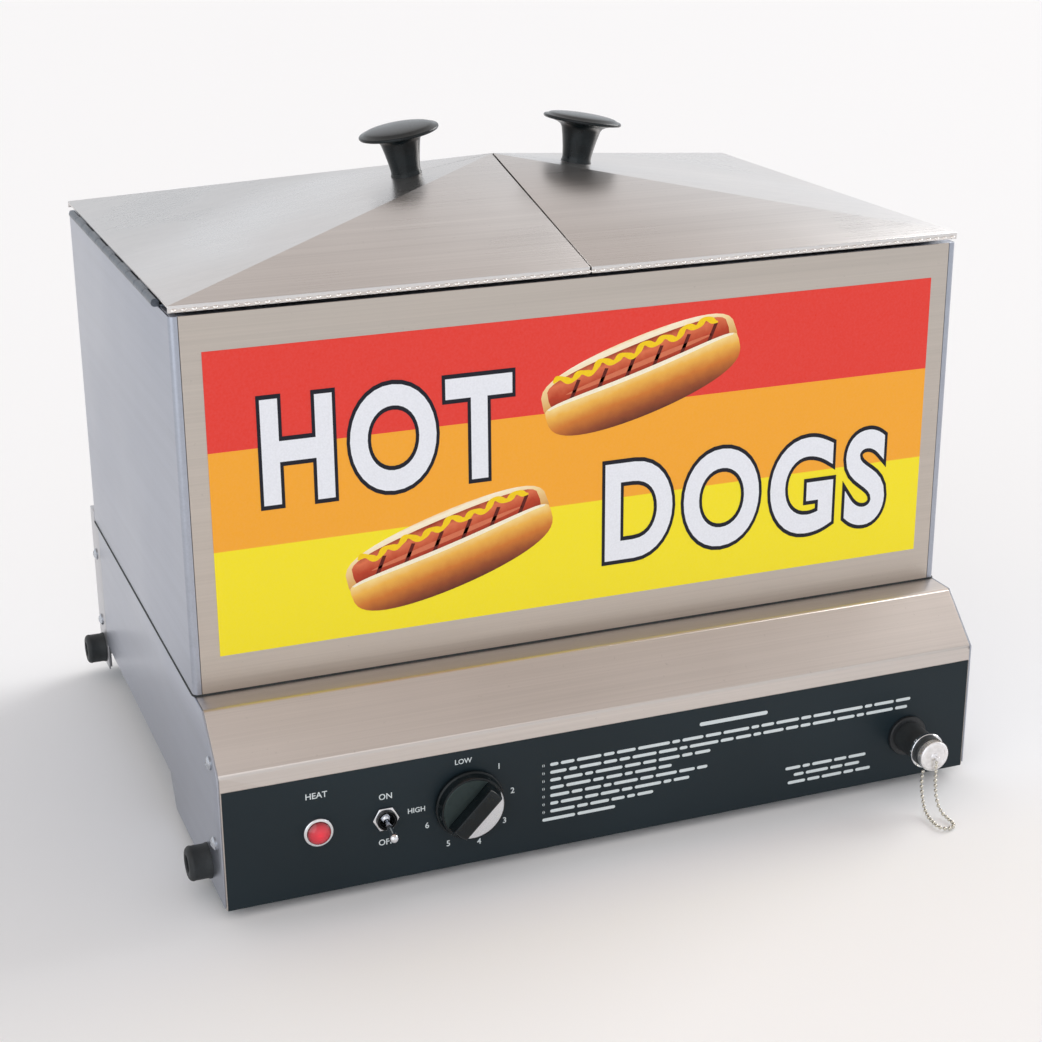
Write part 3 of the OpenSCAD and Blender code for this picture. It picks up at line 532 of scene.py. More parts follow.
def keep(name, bm, finish_name, smooth=35):
    """Turns a bmesh into a piece with a finish, smooth except across edges over that many degrees."""
    mesh = bpy.data.meshes.new(name)
    bm.to_mesh(mesh)
    bm.free()
    mesh.materials.append(finish(finish_name))
    mesh.shade_smooth()
    mesh.set_sharp_from_angle(angle=math.radians(smooth))
    piece = bpy.data.objects.new(name, mesh)
    bpy.context.scene.collection.objects.link(piece)
    return piece


def dress(piece, body, slot, *nodes):
    """Puts a finished piece on its body, in place of its CAD nodes."""
    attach(piece, body)
    if nodes:
        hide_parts(*nodes)
    return piece


def body_of(node):
    return frame["nodes"][node]["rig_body"]


def slot_of(node):
    return next(s["material_slot"] for s in frame["record"]["subparts"] if s["node"] == node)


def long_edges(bm, degrees, width):
    """Edges that turn by more than so many degrees and are long enough to round by width."""
    return [e for e in bm.edges if len(e.link_faces) == 2 and e.calc_face_angle(0) > math.radians(degrees)
            and e.calc_length() > 5 * width]


def eased(node, finish_name, width=None, choose=None, bend=None, smooth=35):
    """A copy of a CAD node with its flat faces made whole and its long edges rounded, in its place."""
    sizes = bpy.context.scene.steamer_sizes
    width = sizes.edge_ease if width is None else width
    bend = sizes.sheet_bend if bend is None else bend
    bm = bmesh.new()
    bm.from_mesh(frame["nodes"][node].data)
    bmesh.ops.remove_doubles(bm, verts=bm.verts, dist=1e-6)
    bmesh.ops.dissolve_limit(bm, angle_limit=math.radians(0.5), verts=bm.verts, edges=bm.edges)
    edges = long_edges(bm, 25, width)
    if choose:
        special = [e for e in edges if choose(e)]
        bmesh.ops.bevel(bm, geom=special, offset=bend, segments=4, affect="EDGES",
                        profile=0.5, clamp_overlap=False)
        edges = long_edges(bm, 60, width)
    if width:
        bmesh.ops.bevel(bm, geom=edges, offset=width, segments=2, affect="EDGES", profile=0.5,
                        clamp_overlap=False)
    bmesh.ops.recalc_face_normals(bm, faces=bm.faces)
    piece = keep("finished_" + node, bm, finish_name, smooth)
    return dress(piece, body_of(node), slot_of(node), node)


def plain(node, finish_name):
    """Gives a CAD node whose shape is right a better material."""
    mesh = frame["nodes"][node].data
    mesh.materials.clear()
    mesh.materials.append(finish(finish_name))


def turned(name, profile, place, axis, finish_name, sides=64, smooth=30):
    """A shape turned about an axis: profile is (radius, height) pairs, closed onto the axis or itself."""
    bm = bmesh.new()
    to = Vector((0, 0, 1)).rotation_difference(Vector(axis)).to_matrix().to_4x4()
    rings = []
    for radius, height in profile:
        if radius < 1e-9:
            rings.append([bm.verts.new((0, 0, height))])
        else:
            rings.append([bm.verts.new((radius * math.cos(2 * math.pi * i / sides),
                                        radius * math.sin(2 * math.pi * i / sides), height))
                          for i in range(sides)])
    pairs = list(zip(rings, rings[1:]))
    if len(rings[0]) > 1:
        pairs.append((rings[-1], rings[0]))
    for low, high in pairs:
        for i in range(sides):
            j = (i + 1) % sides
            corners = [low[i % len(low)], low[j % len(low)], high[j % len(high)], high[i % len(high)]]
            face = list(dict.fromkeys(corners))
            if len(face) > 2:
                bm.faces.new(face)
    bmesh.ops.recalc_face_normals(bm, faces=bm.faces)
    bmesh.ops.transform(bm, matrix=Matrix.Translation(place) @ to, verts=bm.verts)
    return keep(name, bm, finish_name, smooth)


def arc(centre, radius, start, end, steps=6):
    """Points of an arc in a plan or a turned profile, angles in degrees from the first axis."""
    return [(centre[0] + radius * math.cos(math.radians(start + (end - start) * i / steps)),
             centre[1] + radius * math.sin(math.radians(start + (end - start) * i / steps)))
            for i in range(steps + 1)]


def merged(name, pieces):
    """Joins separate pieces into one object."""
    first = pieces[0]
    with bpy.context.temp_override(active_object=first, object=first, selected_objects=pieces,
                                   selected_editable_objects=pieces):
        bpy.ops.object.join()
    first.name = name
    first.data.name = name
    return first


def bridge(bm, low, high):
    """Side faces between two rings that have as many points."""
    for i in range(len(low)):
        j = (i + 1) % len(low)
        bm.faces.new((low[i], low[j], high[j], high[i]))


def slab(name, outline, face_y, thick, finish_name, uv=None):
    """A thin flat shape facing the front: outline is (x, z) pairs, its face at face_y."""
    bm = bmesh.new()
    front = [bm.verts.new((x, face_y, z)) for x, z in outline]
    rear = [bm.verts.new((x, face_y + thick, z)) for x, z in outline]
    bm.faces.new(front)
    bm.faces.new(rear[::-1])
    bridge(bm, rear, front)
    bmesh.ops.recalc_face_normals(bm, faces=bm.faces)
    if uv:
        layer = bm.loops.layers.uv.new("shape")
        for face in bm.faces:
            for loop in face.loops:
                loop[layer].uv = uv(loop.vert.co.x, loop.vert.co.z)
    return keep(name, bm, finish_name)


def words(name, text, size, x, z, face_y, thick, finish_name, bold=0.0, narrow=1.0):
    """Upright lettering facing the front, as a closed mesh; x is its middle and z its baseline."""
    curve = bpy.data.curves.new(name, "FONT")
    curve.body = text
    curve.size = size
    curve.extrude = thick / 2
    curve.offset = bold
    curve.align_x = "CENTER"
    curve.space_character = LETTER_GAP if size > 0.02 else 1.0
    curve.resolution_u = 8 if size > 0.02 else 3
    source = bpy.data.objects.new(name + "_source", curve)
    bpy.context.scene.collection.objects.link(source)
    graph = bpy.context.evaluated_depsgraph_get()
    mesh = bpy.data.meshes.new_from_object(source.evaluated_get(graph))
    bpy.data.objects.remove(source)
    bpy.data.curves.remove(curve)
    bm = bmesh.new()
    bm.from_mesh(mesh)
    bpy.data.meshes.remove(mesh)
    bmesh.ops.remove_doubles(bm, verts=bm.verts, dist=1e-7)
    bmesh.ops.transform(bm, matrix=Matrix.Translation((x, face_y + thick / 2, z))
                        @ Matrix.Rotation(math.radians(90), 4, "X")
                        @ Matrix.Diagonal((narrow, 1, 1, 1)), verts=bm.verts)
    return keep(name, bm, finish_name)


# ---- Geometry Nodes ----

def new_tree(name, sockets):
    """An empty geometry tree with named inputs after its geometry."""
    tree = bpy.data.node_groups.new(name, "GeometryNodeTree")
    tree.interface.new_socket("Geometry", in_out="INPUT", socket_type="NodeSocketGeometry")
    for socket, kind in sockets:
        tree.interface.new_socket(socket, in_out="INPUT", socket_type="NodeSocket" + kind)
    tree.interface.new_socket("Geometry", in_out="OUTPUT", socket_type="NodeSocketGeometry")
    return tree, tree.nodes.new("NodeGroupInput"), tree.nodes.new("NodeGroupOutput")


def wire(tree, kind, links, settings=None):
    """A geometry node with its inputs linked or set."""
    made = tree.nodes.new(kind)
    for name, value in (settings or {}).items():
        setattr(made, name, value)
    for name, value in links.items():
        if isinstance(value, bpy.types.NodeSocket):
            tree.links.new(value, made.inputs[name])
        else:
            made.inputs[name].default_value = value
    return made


def beads_tree():
    """Round beads strung at even spacing on a thin wire that follows a line of edges."""
    tree, start, end = new_tree("beads_on_wire", [("Bead Radius", "Float"), ("Stretch", "Vector"),
                                                  ("Pitch", "Float"), ("Wire Radius", "Float"),
                                                  ("Finish", "Material")])
    curve = wire(tree, "GeometryNodeMeshToCurve", {"Mesh": start.outputs["Geometry"]})
    even = wire(tree, "GeometryNodeResampleCurve",
                {"Curve": curve.outputs[0], "Length": start.outputs["Pitch"]}, {"mode": "LENGTH"})
    bead = wire(tree, "GeometryNodeMeshIcoSphere",
                {"Radius": start.outputs["Bead Radius"], "Subdivisions": 2})
    round_bead = wire(tree, "GeometryNodeSetShadeSmooth", {"Geometry": bead.outputs[0]})
    strung = wire(tree, "GeometryNodeInstanceOnPoints", {"Points": even.outputs[0],
                                                         "Instance": round_bead.outputs[0],
                                                         "Scale": start.outputs["Stretch"]})
    section = wire(tree, "GeometryNodeCurvePrimitiveCircle",
                   {"Resolution": 6, "Radius": start.outputs["Wire Radius"]})
    core = wire(tree, "GeometryNodeCurveToMesh",
                {"Curve": curve.outputs[0], "Profile Curve": section.outputs[0], "Fill Caps": True})
    both = tree.nodes.new("GeometryNodeJoinGeometry")
    tree.links.new(strung.outputs[0], both.inputs[0])
    tree.links.new(core.outputs[0], both.inputs[0])
    solid = wire(tree, "GeometryNodeRealizeInstances", {"Geometry": both.outputs[0]})
    painted = wire(tree, "GeometryNodeSetMaterial", {"Geometry": solid.outputs[0],
                                                     "Material": start.outputs["Finish"]})
    tree.links.new(painted.outputs[0], end.inputs["Geometry"])
    return tree


def ring_tree():
    """Ridges set at even steps around an axis, from one ridge of the source geometry."""
    tree, start, end = new_tree("ridges_around", [("Count", "Int"), ("Axis Place", "Vector"),
                                                  ("Finish", "Material")])
    line = wire(tree, "GeometryNodeMeshLine", {"Count": start.outputs["Count"], "Offset": (0, 0, 0)})
    index = tree.nodes.new("GeometryNodeInputIndex")
    share = wire(tree, "ShaderNodeMath", {0: index.outputs[0], 1: start.outputs["Count"]},
                 {"operation": "DIVIDE"})
    angle = wire(tree, "ShaderNodeMath", {0: share.outputs[0], 1: 2 * math.pi}, {"operation": "MULTIPLY"})
    turn = wire(tree, "ShaderNodeCombineXYZ", {"Y": angle.outputs[0]})
    copies = wire(tree, "GeometryNodeInstanceOnPoints", {"Points": line.outputs[0],
                                                         "Instance": start.outputs["Geometry"],
                                                         "Rotation": turn.outputs[0]})
    solid = wire(tree, "GeometryNodeRealizeInstances", {"Geometry": copies.outputs[0]})
    placed = wire(tree, "GeometryNodeTransform", {"Geometry": solid.outputs[0],
                                                  "Translation": start.outputs["Axis Place"]})
    painted = wire(tree, "GeometryNodeSetMaterial", {"Geometry": placed.outputs[0],
                                                     "Material": start.outputs["Finish"]})
    tree.links.new(painted.outputs[0], end.inputs["Geometry"])
    return tree


def grown(name, source_mesh, make_tree, **inputs):
    """Runs a geometry tree on a mesh and keeps the result as a plain mesh piece."""
    tree = bpy.data.node_groups.get(make_tree.__name__) or make_tree()
    tree.name = make_tree.__name__
    source = bpy.data.objects.new(name, source_mesh)
    bpy.context.scene.collection.objects.link(source)
    modifier = source.modifiers.new("grow", "NODES")
    modifier.node_group = tree
    ids = {item.name: item.identifier for item in tree.interface.items_tree if item.in_out == "INPUT"}
    for label, value in inputs.items():
        modifier[ids[label.replace("_", " ")]] = value
    graph = bpy.context.evaluated_depsgraph_get()
    mesh = bpy.data.meshes.new_from_object(source.evaluated_get(graph))
    source.modifiers.clear()
    source.data = mesh
    mesh.name = name
    mesh.set_sharp_from_angle(angle=math.radians(40))
    bpy.data.meshes.remove(source_mesh)
    return source


def line_mesh(name, points):
    mesh = bpy.data.meshes.new(name + "_line")
    mesh.from_pydata([tuple(p) for p in points], [(i, i + 1) for i in range(len(points) - 1)], [])
    return mesh


# ---- Shapes used by several pieces ----

def swept_plan(name, outline, low, high, finish_name, ease=0.00045):
    """A sheet piece standing upright: its outline in X and Y, from height low to high."""
    bm = bmesh.new()
    under = [bm.verts.new((x, y, low)) for x, y in outline]
    over = [bm.verts.new((x, y, high)) for x, y in outline]
    bm.faces.new(under[::-1])
    bm.faces.new(over)
    bridge(bm, under, over)
    bmesh.ops.recalc_face_normals(bm, faces=bm.faces)
    rims = [e for e in bm.edges if abs(e.verts[0].co.z - e.verts[1].co.z) < 1e-7
            and e.verts[0].co.z > high - 1e-6]
    bmesh.ops.bevel(bm, geom=rims, offset=ease, segments=2, affect="EDGES", profile=0.5, clamp_overlap=True)
    return keep(name, bm, finish_name, 30)


def lofted(name, rings, finish_name, smooth=30):
    """A closed shape through rings of points, capped at both ends."""
    bm = bmesh.new()
    made = [[bm.verts.new(p) for p in ring] for ring in rings]
    for low, high in zip(made, made[1:]):
        bridge(bm, low, high)
    bm.faces.new(made[0][::-1])
    bm.faces.new(made[-1])
    bmesh.ops.recalc_face_normals(bm, faces=bm.faces)
    return keep(name, bm, finish_name, smooth)


def on_panel(x, z, out=0.0):
    """A point out in front of the label's face."""
    return Vector((x, PANEL_Y - out, z))


# ---- Cabinet ----

FOLD_LOW, FOLD_HIGH = math.radians(30), math.radians(60)


def is_fold(edge):
    """The 45 degree folds that run across the front sheet."""
    return (FOLD_LOW < edge.calc_face_angle(0) < FOLD_HIGH and edge.calc_length() > 0.1
            and abs(edge.verts[0].co.x - edge.verts[1].co.x) > 0.1)


def is_hip(edge):
    """The shallow folds down a lid's hips."""
    return math.radians(8) < edge.calc_face_angle(0) < math.radians(25) and edge.calc_length() > 0.1


def build_cabinet():
    eased("front_panel", "panel_steel", choose=is_fold)
    eased("rear_cover", "rear_steel")
    for node in ("left_side_panel", "right_side_panel", "deck_plate"):
        eased(node, "side_steel")
    for node in ("rear_posts", "bottom_plate"):
        eased(node, "plain_steel", width=0)


BOX_LOW, BOX_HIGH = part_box("box_left_wall")[0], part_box("box_right_wall")[1]
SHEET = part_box("box_left_wall")[1].x - BOX_LOW.x
CORNER_R, WRAP, SEAM = 3 * MM, 4.8 * MM, 0.35 * MM


def wall_outline(side):
    """Plan of a side wall whose ends wrap round the box's corners onto its front and back."""
    x, inner, r = BOX_HIGH.x, BOX_HIGH.x - SHEET, CORNER_R
    front, back = BOX_LOW.y, BOX_HIGH.y
    outer = ([(x - WRAP, front)] + arc((x - r, front + r), r, -90, 0)
             + arc((x - r, back - r), r, 0, 90) + [(x - WRAP, back)])
    inside = ([(x - WRAP, back - SHEET)] + arc((x - r, back - r), r - SHEET, 90, 0)
              + arc((x - r, front + r), r - SHEET, 0, -90) + [(x - WRAP, front + SHEET)])
    return [(side * px, py) for px, py in outer + inside]


def build_box():
    low, high = BOX_LOW.z, BOX_HIGH.z
    for side, node in ((-1, "box_left_wall"), (1, "box_right_wall")):
        wall = swept_plan("finished_" + node, wall_outline(side), low, high, "side_steel")
        dress(wall, "cabinet", slot_of(node), node)
    reach = BOX_HIGH.x - WRAP - SEAM
    for node, y, look in (("box_front_wall", BOX_LOW.y, "front_steel"),
                          ("box_back_wall", BOX_HIGH.y - SHEET, "rear_steel")):
        outline = [(-reach, y), (reach, y), (reach, y + SHEET), (-reach, y + SHEET)]
        wall = swept_plan("finished_" + node, outline, low, high, look)
        dress(wall, "cabinet", slot_of(node), node)
    eased("box_rim", "side_steel", width=0.25 * MM)
    build_gasket()


def build_gasket():
    """A dark bead of sealant around the foot of the box."""
    bead, lift = 0.7 * MM, 0.9 * MM
    rings = []
    for out, up in ((0, 0.02 * MM), (bead, 0.02 * MM), (bead * 0.8, lift * 0.7), (0, lift)):
        x, r = BOX_HIGH.x + out, CORNER_R + out
        front, back = BOX_LOW.y - out, BOX_HIGH.y + out
        plan = (arc((x - r, front + r), r, -90, 0) + arc((x - r, back - r), r, 0, 90)
                + arc((r - x, back - r), r, 90, 180) + arc((r - x, front + r), r, 180, 270))
        rings.append([(px, py, BOX_LOW.z + up) for px, py in plan])
    bm = bmesh.new()
    made = [[bm.verts.new(p) for p in ring] for ring in rings]
    for low, high in zip(made, made[1:] + made[:1]):
        bridge(bm, low, high)
    bmesh.ops.recalc_face_normals(bm, faces=bm.faces)
    dress(keep("box_sealant", bm, "rubber"), "cabinet", "foot_rubber")


# ---- Graphic on the box ----

LETTERS = (("HOT", -124 * MM, 228 * MM), ("DOGS", 104 * MM, 165 * MM))
LETTER_NARROW, LETTER_GAP = 0.78, 1.17
HOT_DOGS = ((33 * MM, 276 * MM), (-87 * MM, 185 * MM))     # the middles of the two illustrations
DOG_LENGTH, DOG_TILT = 128 * MM, math.radians(16)


def build_graphic():
    plain("graphic_panel", "graphic_film")
    for i, (x, z) in enumerate(HOT_DOGS, 1):
        build_hot_dog(i, x, z)
    sizes = bpy.context.scene.steamer_sizes
    face = GRAPHIC_LOW.y
    for text, x, z in LETTERS:
        for layer, ink_name, bold, out in (("edge", "letter_edge", 4.9 * MM, 0.20 * MM),
                                           ("face", "letter_white", 2.4 * MM, 0.26 * MM)):
            piece = words(f"letter_{layer}_{text}", text, sizes.letter_h * 1.42, x, z, face - out, out,
                          ink_name, bold, narrow=LETTER_NARROW)
            dress(piece, "cabinet", "graphic_film")


def build_hot_dog(number, x, z):
    """A printed hot dog in a bun: flat shapes in thin layers, along the drawing's own slanted axis."""
    size, face = DOG_LENGTH, GRAPHIC_LOW.y
    cos, sin = math.cos(DOG_TILT), math.sin(DOG_TILT)

    def placed(points):
        return [(x + size * (u * cos - v * sin), z + size * (u * sin + v * cos)) for u, v in points]

    def across(low, high):
        def uv(px, pz):
            u, v = (px - x) / size, (pz - z) / size
            return (u * cos + v * sin + 0.5, (v * cos - u * sin - low) / (high - low))
        return uv

    def belly(end, low, high, power, steps=22):
        """A long rounded shape, its lower edge at low and its upper one at high."""
        under = [(-end * math.cos(math.pi * i / steps), low * math.sin(math.pi * i / steps) ** power)
                 for i in range(1, steps)]
        over = [(end * math.cos(math.pi * i / steps), high * math.sin(math.pi * i / steps) ** power)
                for i in range(1, steps)]
        return [(-end, 0)] + under + [(end, 0)] + over

    def part(name, points, layer, ink_name, low, high):
        thick = layer * 0.03 * MM
        piece = slab(f"{name}_{number}", placed(points), face - thick, thick, ink_name, across(low, high))
        return dress(piece, "cabinet", "graphic_film")

    part("printed_bun_back", [(u, v + 0.02) for u, v in belly(0.5, -0.08, 0.165, 0.5)], 1, "bun_back_ink",
         0.0, 0.2)
    part("printed_sausage", [(u, v + 0.055) for u, v in belly(0.465, -0.075, 0.098, 0.42)], 2, "sausage_ink",
         -0.02, 0.155)
    for i in range(6):
        u = -0.37 + 0.142 * i
        cut = [(u, 0.025), (u + 0.016, 0.018), (u + 0.078, 0.095), (u + 0.062, 0.102)]
        part(f"printed_slit_{i}", cut, 3, "sausage_slit_ink", 0, 1)
    part("printed_gloss", [(u * 0.9, 0.055 + 0.012 * v) for u, v in
                           [(math.cos(2 * math.pi * i / 40) * 0.42, math.sin(2 * math.pi * i / 40))
                            for i in range(40)]], 3, "sausage_gloss_ink", 0, 1)
    steps = 110
    wave = [(-0.42 + 0.84 * i / steps, 0.122 + 0.013 * math.sin(i * 2 * math.pi / 14.2)
             + 0.008 * math.sin(i * 2 * math.pi / 31 + number)) for i in range(steps + 1)]
    ribbon = []
    for side in (1, -1):
        for i in range(steps + 1) if side > 0 else range(steps, -1, -1):
            a, b = wave[max(i - 1, 0)], wave[min(i + 1, steps)]
            along = Vector((b[0] - a[0], b[1] - a[1])).normalized()
            width = (0.0125 + 0.003 * math.sin(i * 0.9)) * min(1.0, 0.35 + min(i, steps - i) / 5)
            ribbon.append((wave[i][0] - side * width * along.y, wave[i][1] + side * width * along.x))
    part("printed_mustard", ribbon, 4, "mustard_ink", 0, 1)
    under = [(0.5 * math.cos(a), -0.015 - 0.175 * abs(math.sin(a)) ** 0.62)
             for a in (math.pi + math.pi * i / 30 for i in range(31))]
    over = [(0.5 * math.cos(math.pi * i / 24), -0.015 + 0.075 * math.sin(math.pi * i / 24) ** 0.5
             - 0.035 * math.sin(math.pi * i / 24) ** 2) for i in range(1, 24)]
    part("printed_bun_front", under + over, 5, "bun_front_ink", -0.19, 0.045)
    lip = over[1:-1]
    part("printed_bun_lip", lip + [(u * 0.985, v - 0.02 * math.sin(math.pi * (i + 1) / (len(lip) + 1)) ** 0.5)
                                   for i, (u, v) in reversed(list(enumerate(lip)))], 6, "bun_lip_ink", 0, 1)


# ---- Control label ----

CAPTION_H, NUMBER_H = 5.2 * MM, 5.2 * MM
CAPTIONS = (("HEAT", PILOT.x, 66.5 * MM), ("ON", TOGGLE.x + 0.5 * MM, 58.0 * MM),
            ("OFF", TOGGLE.x, 29.0 * MM))
DIAL_MARKS = (("LOW", 96),) + tuple((str(i + 1), 46 - 41 * i) for i in range(6)) + (("HIGH", 177),)
DIAL_RING = 27.4 * MM


def build_label():
    plain("control_label", "label_film")
    t = bpy.context.scene.steamer_sizes.print_t
    marks = [words("caption_" + text, text, CAPTION_H, x, z, PANEL_Y - t, t, "white_ink", bold=0.06 * MM)
             for text, x, z in CAPTIONS]
    for text, degrees in DIAL_MARKS:
        turn = math.radians(degrees)
        reach = DIAL_RING + (4.4 * MM if text == "HIGH" else 0)
        x, z = DIAL.x + reach * math.cos(turn), DIAL.z + reach * math.sin(turn)
        marks.append(words("mark_" + text, text, NUMBER_H if len(text) == 1 else CAPTION_H * 0.86, x,
                           z - NUMBER_H * 0.33, PANEL_Y - t, t, "white_ink", bold=0.06 * MM))
    marks += instruction_bars(t)
    dress(merged("label_print", marks), "cabinet", "label_film")


def bar(name, x0, x1, z, height, t):
    """A thin printed bar with rounded ends."""
    r = height / 2
    ends = arc((x1 - r, z), r, -90, 90, 5) + arc((x0 + r, z), r, 90, 270, 5)
    return slab(name, ends, PANEL_Y - t, t, "white_ink")


def word_bars(lengths, x, z, limit, t):
    """A row of bars from x on, each as long as its number says, up to a limit."""
    made = []
    for length in lengths:
        end = x + length * 1.75 * MM
        if end > limit:
            break
        made.append(bar("word", x, end, z, 2.0 * MM, t))
        x = end + 1.5 * MM
    return made


def instruction_bars(t):
    """Rows of short bars that stand in for a block of small print, with no words in it."""
    left, right, top, pitch = -50 * MM, 203 * MM, 60.5 * MM, 5.1 * MM
    lengths = ((3, 5, 9, 4, 7, 12, 3, 8, 6, 10), (6, 3, 8, 5, 4, 9, 7, 3, 11, 5),
               (4, 7, 3, 10, 6, 5, 8, 4, 6), (5, 9, 4, 6, 3, 8, 5), (7, 4, 6, 3, 9, 5, 8, 6, 4),
               (3, 8, 5, 7, 4, 10, 3, 6), (9, 4, 7, 5, 3, 6), (12, 14))
    made = [bar("title_bar", 52 * MM, 98 * MM, 68.8 * MM, 2.5 * MM, t)]
    for row, words_in_row in enumerate(lengths):
        z = top - pitch * row
        x = left
        if row < 7:
            made.append(bar("row_number", x, x + 1.6 * MM, z, 2.2 * MM, t))
            x += 5 * MM
        made += word_bars(words_in_row * (2 if row < 2 else 1), x, z, right - (30 * MM if row > 2 else 0), t)
    for row in range(3):
        z = 27.5 * MM - 5 * MM * row
        x = 112 * MM + (0, 6, 2)[row] * MM
        made += word_bars(((6, 3, 8, 5, 7), (4, 9, 5, 6), (7, 5, 8, 4, 6))[row], x, z, 186 * MM, t)
    return made


# ---- Lids ----

SIDES = (("left", -1), ("right", 1))
EDGE_Z = BOX_HIGH.z + 6 * MM          # where a lid's slope starts
PEAK_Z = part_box("left_lid")[1].z
LIP_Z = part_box("left_lid")[0].z
BOX_MID_Y = (BOX_LOW.y + BOX_HIGH.y) / 2
ROOF_TILT = math.atan2(PEAK_Z - EDGE_Z, BOX_HIGH.x)
KNOB_OFF = 57 * MM
SEAT_Z = EDGE_Z + (PEAK_Z - EDGE_Z) * (BOX_HIGH.x - KNOB_OFF) / BOX_HIGH.x


def build_lids():
    sizes = bpy.context.scene.steamer_sizes
    for which, side in SIDES:
        eased(which + "_lid", "lid_steel", choose=is_hip, width=0.3 * MM, bend=2.4 * MM)
        y, z = BOX_LOW.y - 0.15 * MM, LIP_Z + 1.3 * MM
        for end, at_y in (("front", y), ("back", BOX_HIGH.y + 0.15 * MM)):
            name = f"{which}_lid_{end}_hem"
            line = line_mesh(name, [(side * 1.6 * MM, at_y, z), (side * (BOX_HIGH.x - 3 * MM), at_y, z)])
            hem = grown(name, line, beads_tree, Bead_Radius=sizes.hem_bead, Stretch=(1.7, 1, 1),
                        Pitch=sizes.hem_pitch, Wire_Radius=0.5 * sizes.hem_bead, Finish=finish("hem_steel"))
            dress(hem, which + "_lid", "lid_steel")


def build_hinges():
    for node in ("hinge_fixed_leaves", "left_hinge_leaf", "right_hinge_leaf", "hinge_pins"):
        # The hinges take a dark plate finish as painted shade, for the shadowed strip along the lids' hinge
        # edges
        eased(node, "hinge_plate", width=0.12 * MM, smooth=35)


def knob_profile():
    """Half section of a lid knob: flared foot, slim stem, wide dished head with a thin rolled rim."""
    length, head = 31.0 * MM, 25 * MM
    rise = mm([(9.8, 0), (9.7, 0.7), (9.3, 1.8), (9.3, 4), (10.0, 9), (11.2, 15.5), (12.5, 21), (13.6, 22.8),
               (16.2, 24.2), (20.0, 25.3), (22.7, 25.9)])
    rim = arc((head - 1.1 * MM, 27.0 * MM), 1.1 * MM, -80, 80, 7)
    crown = [(head - 2.4 * MM, 28.35 * MM)]
    crown += [(head * math.cos(math.pi / 2 * i / 9) * 0.9, 28.35 * MM + (length - 28.35 * MM)
               * math.sin(math.pi / 2 * i / 9)) for i in range(2, 9)]
    return [(0, 0)] + rise + rim + crown + [(0, length)]


def build_lid_knobs():
    for which, side in SIDES:
        up = Vector((side * math.sin(ROOF_TILT), 0, math.cos(ROOF_TILT)))
        seat = Vector((side * KNOB_OFF, BOX_MID_Y, SEAT_Z))
        knob = turned(f"{which}_knob_moulding", knob_profile(), seat, up, "gloss_phenolic",
                      sides=72, smooth=50)
        dress(knob, which + "_lid", "knob_plastic", which + "_lid_knob")
        eased(which + "_knob_screw", "screw_plate", width=0)


# ---- Controls ----

def build_pilot():
    out = 3.0 * MM
    profile = (mm([(4.5, -15), (6, -15), (6, 0), (8.8, 0), (8.8, 0.5)])
               + arc((7.9 * MM, 2.1 * MM), 0.85 * MM, 20, 90, 5)
               + mm([(7.1, 3.0), (6.8, 2.7), (6.72, 1.0), (4.5, 1.0)]))
    bezel = turned("pilot_ring", profile, on_panel(PILOT.x, PILOT.z), FRONT, "chrome_trim", sides=64)
    dress(bezel, "cabinet", "chrome_trim", "pilot_bezel")
    lens_r, dome = 6.7 * MM, 2.6 * MM
    dome_r = (lens_r ** 2 + dome ** 2) / (2 * dome)
    half = math.asin(lens_r / dome_r)
    shoulder = out + 1 * MM
    crown = [(dome_r * math.sin(half * i / 9), shoulder + dome - dome_r * (1 - math.cos(half * i / 9)))
             for i in range(9, 0, -1)]
    profile = mm([(0, -14), (4.4, -14), (4.4, 1.05), (6.65, 1.05)]) + crown + [(0, shoulder + dome)]
    lens = turned("pilot_jewel", profile, on_panel(PILOT.x, PILOT.z), FRONT, "red_lens", sides=64, smooth=50)
    dress(lens, "cabinet", "red_lens", "pilot_lens")


def build_toggle():
    eased("toggle_nut", "chrome_trim", width=0.35 * MM)
    threads = []
    for i in range(7):
        at = 0.3 * MM + i * 0.55 * MM
        threads += [(5.95 * MM, at), (5.6 * MM, at + 0.27 * MM)]
    bushing = mm([(4.6, -2), (5.6, -2), (5.95, 0.1)]) + threads + mm([(5.5, 4.0), (4.8, 4.0), (4.6, 3.8)])
    collar = turned("toggle_bushing", bushing, on_panel(TOGGLE.x, TOGGLE.z), FRONT, "chrome_trim", sides=48)
    eased("toggle_body", "black_moulding", width=0)
    dress(collar, "cabinet", "chrome_trim")
    low = math.radians(17)
    along = Vector((0, -math.cos(low), -math.sin(low)))
    profile = arc((0, 0), 3.4 * MM, -90, 62, 10)
    profile += mm([(1.55, 4.0), (1.6, 6), (2.0, 11), (2.55, 15.4)])
    profile += arc((0, 17.2 * MM), 2.8 * MM, -10, 90, 8)
    profile[0] = (0, profile[0][1])
    profile[-1] = (0, profile[-1][1])
    lever = turned("toggle_bat", profile, TOGGLE, along, "chrome_trim", sides=40, smooth=40)
    dress(lever, "toggle", "chrome_trim", "toggle_lever")


DIAL_TURN = math.radians(45)          # how far the grip is turned at rest


def on_dial(across, along, height):
    """A point on the dial, from millimetres across and along the grip and out from the label."""
    cos, sin = math.cos(DIAL_TURN), math.sin(DIAL_TURN)
    return (DIAL.x + MM * (across * cos - along * sin), PANEL_Y - height * MM,
            DIAL.z + MM * (across * sin + along * cos))


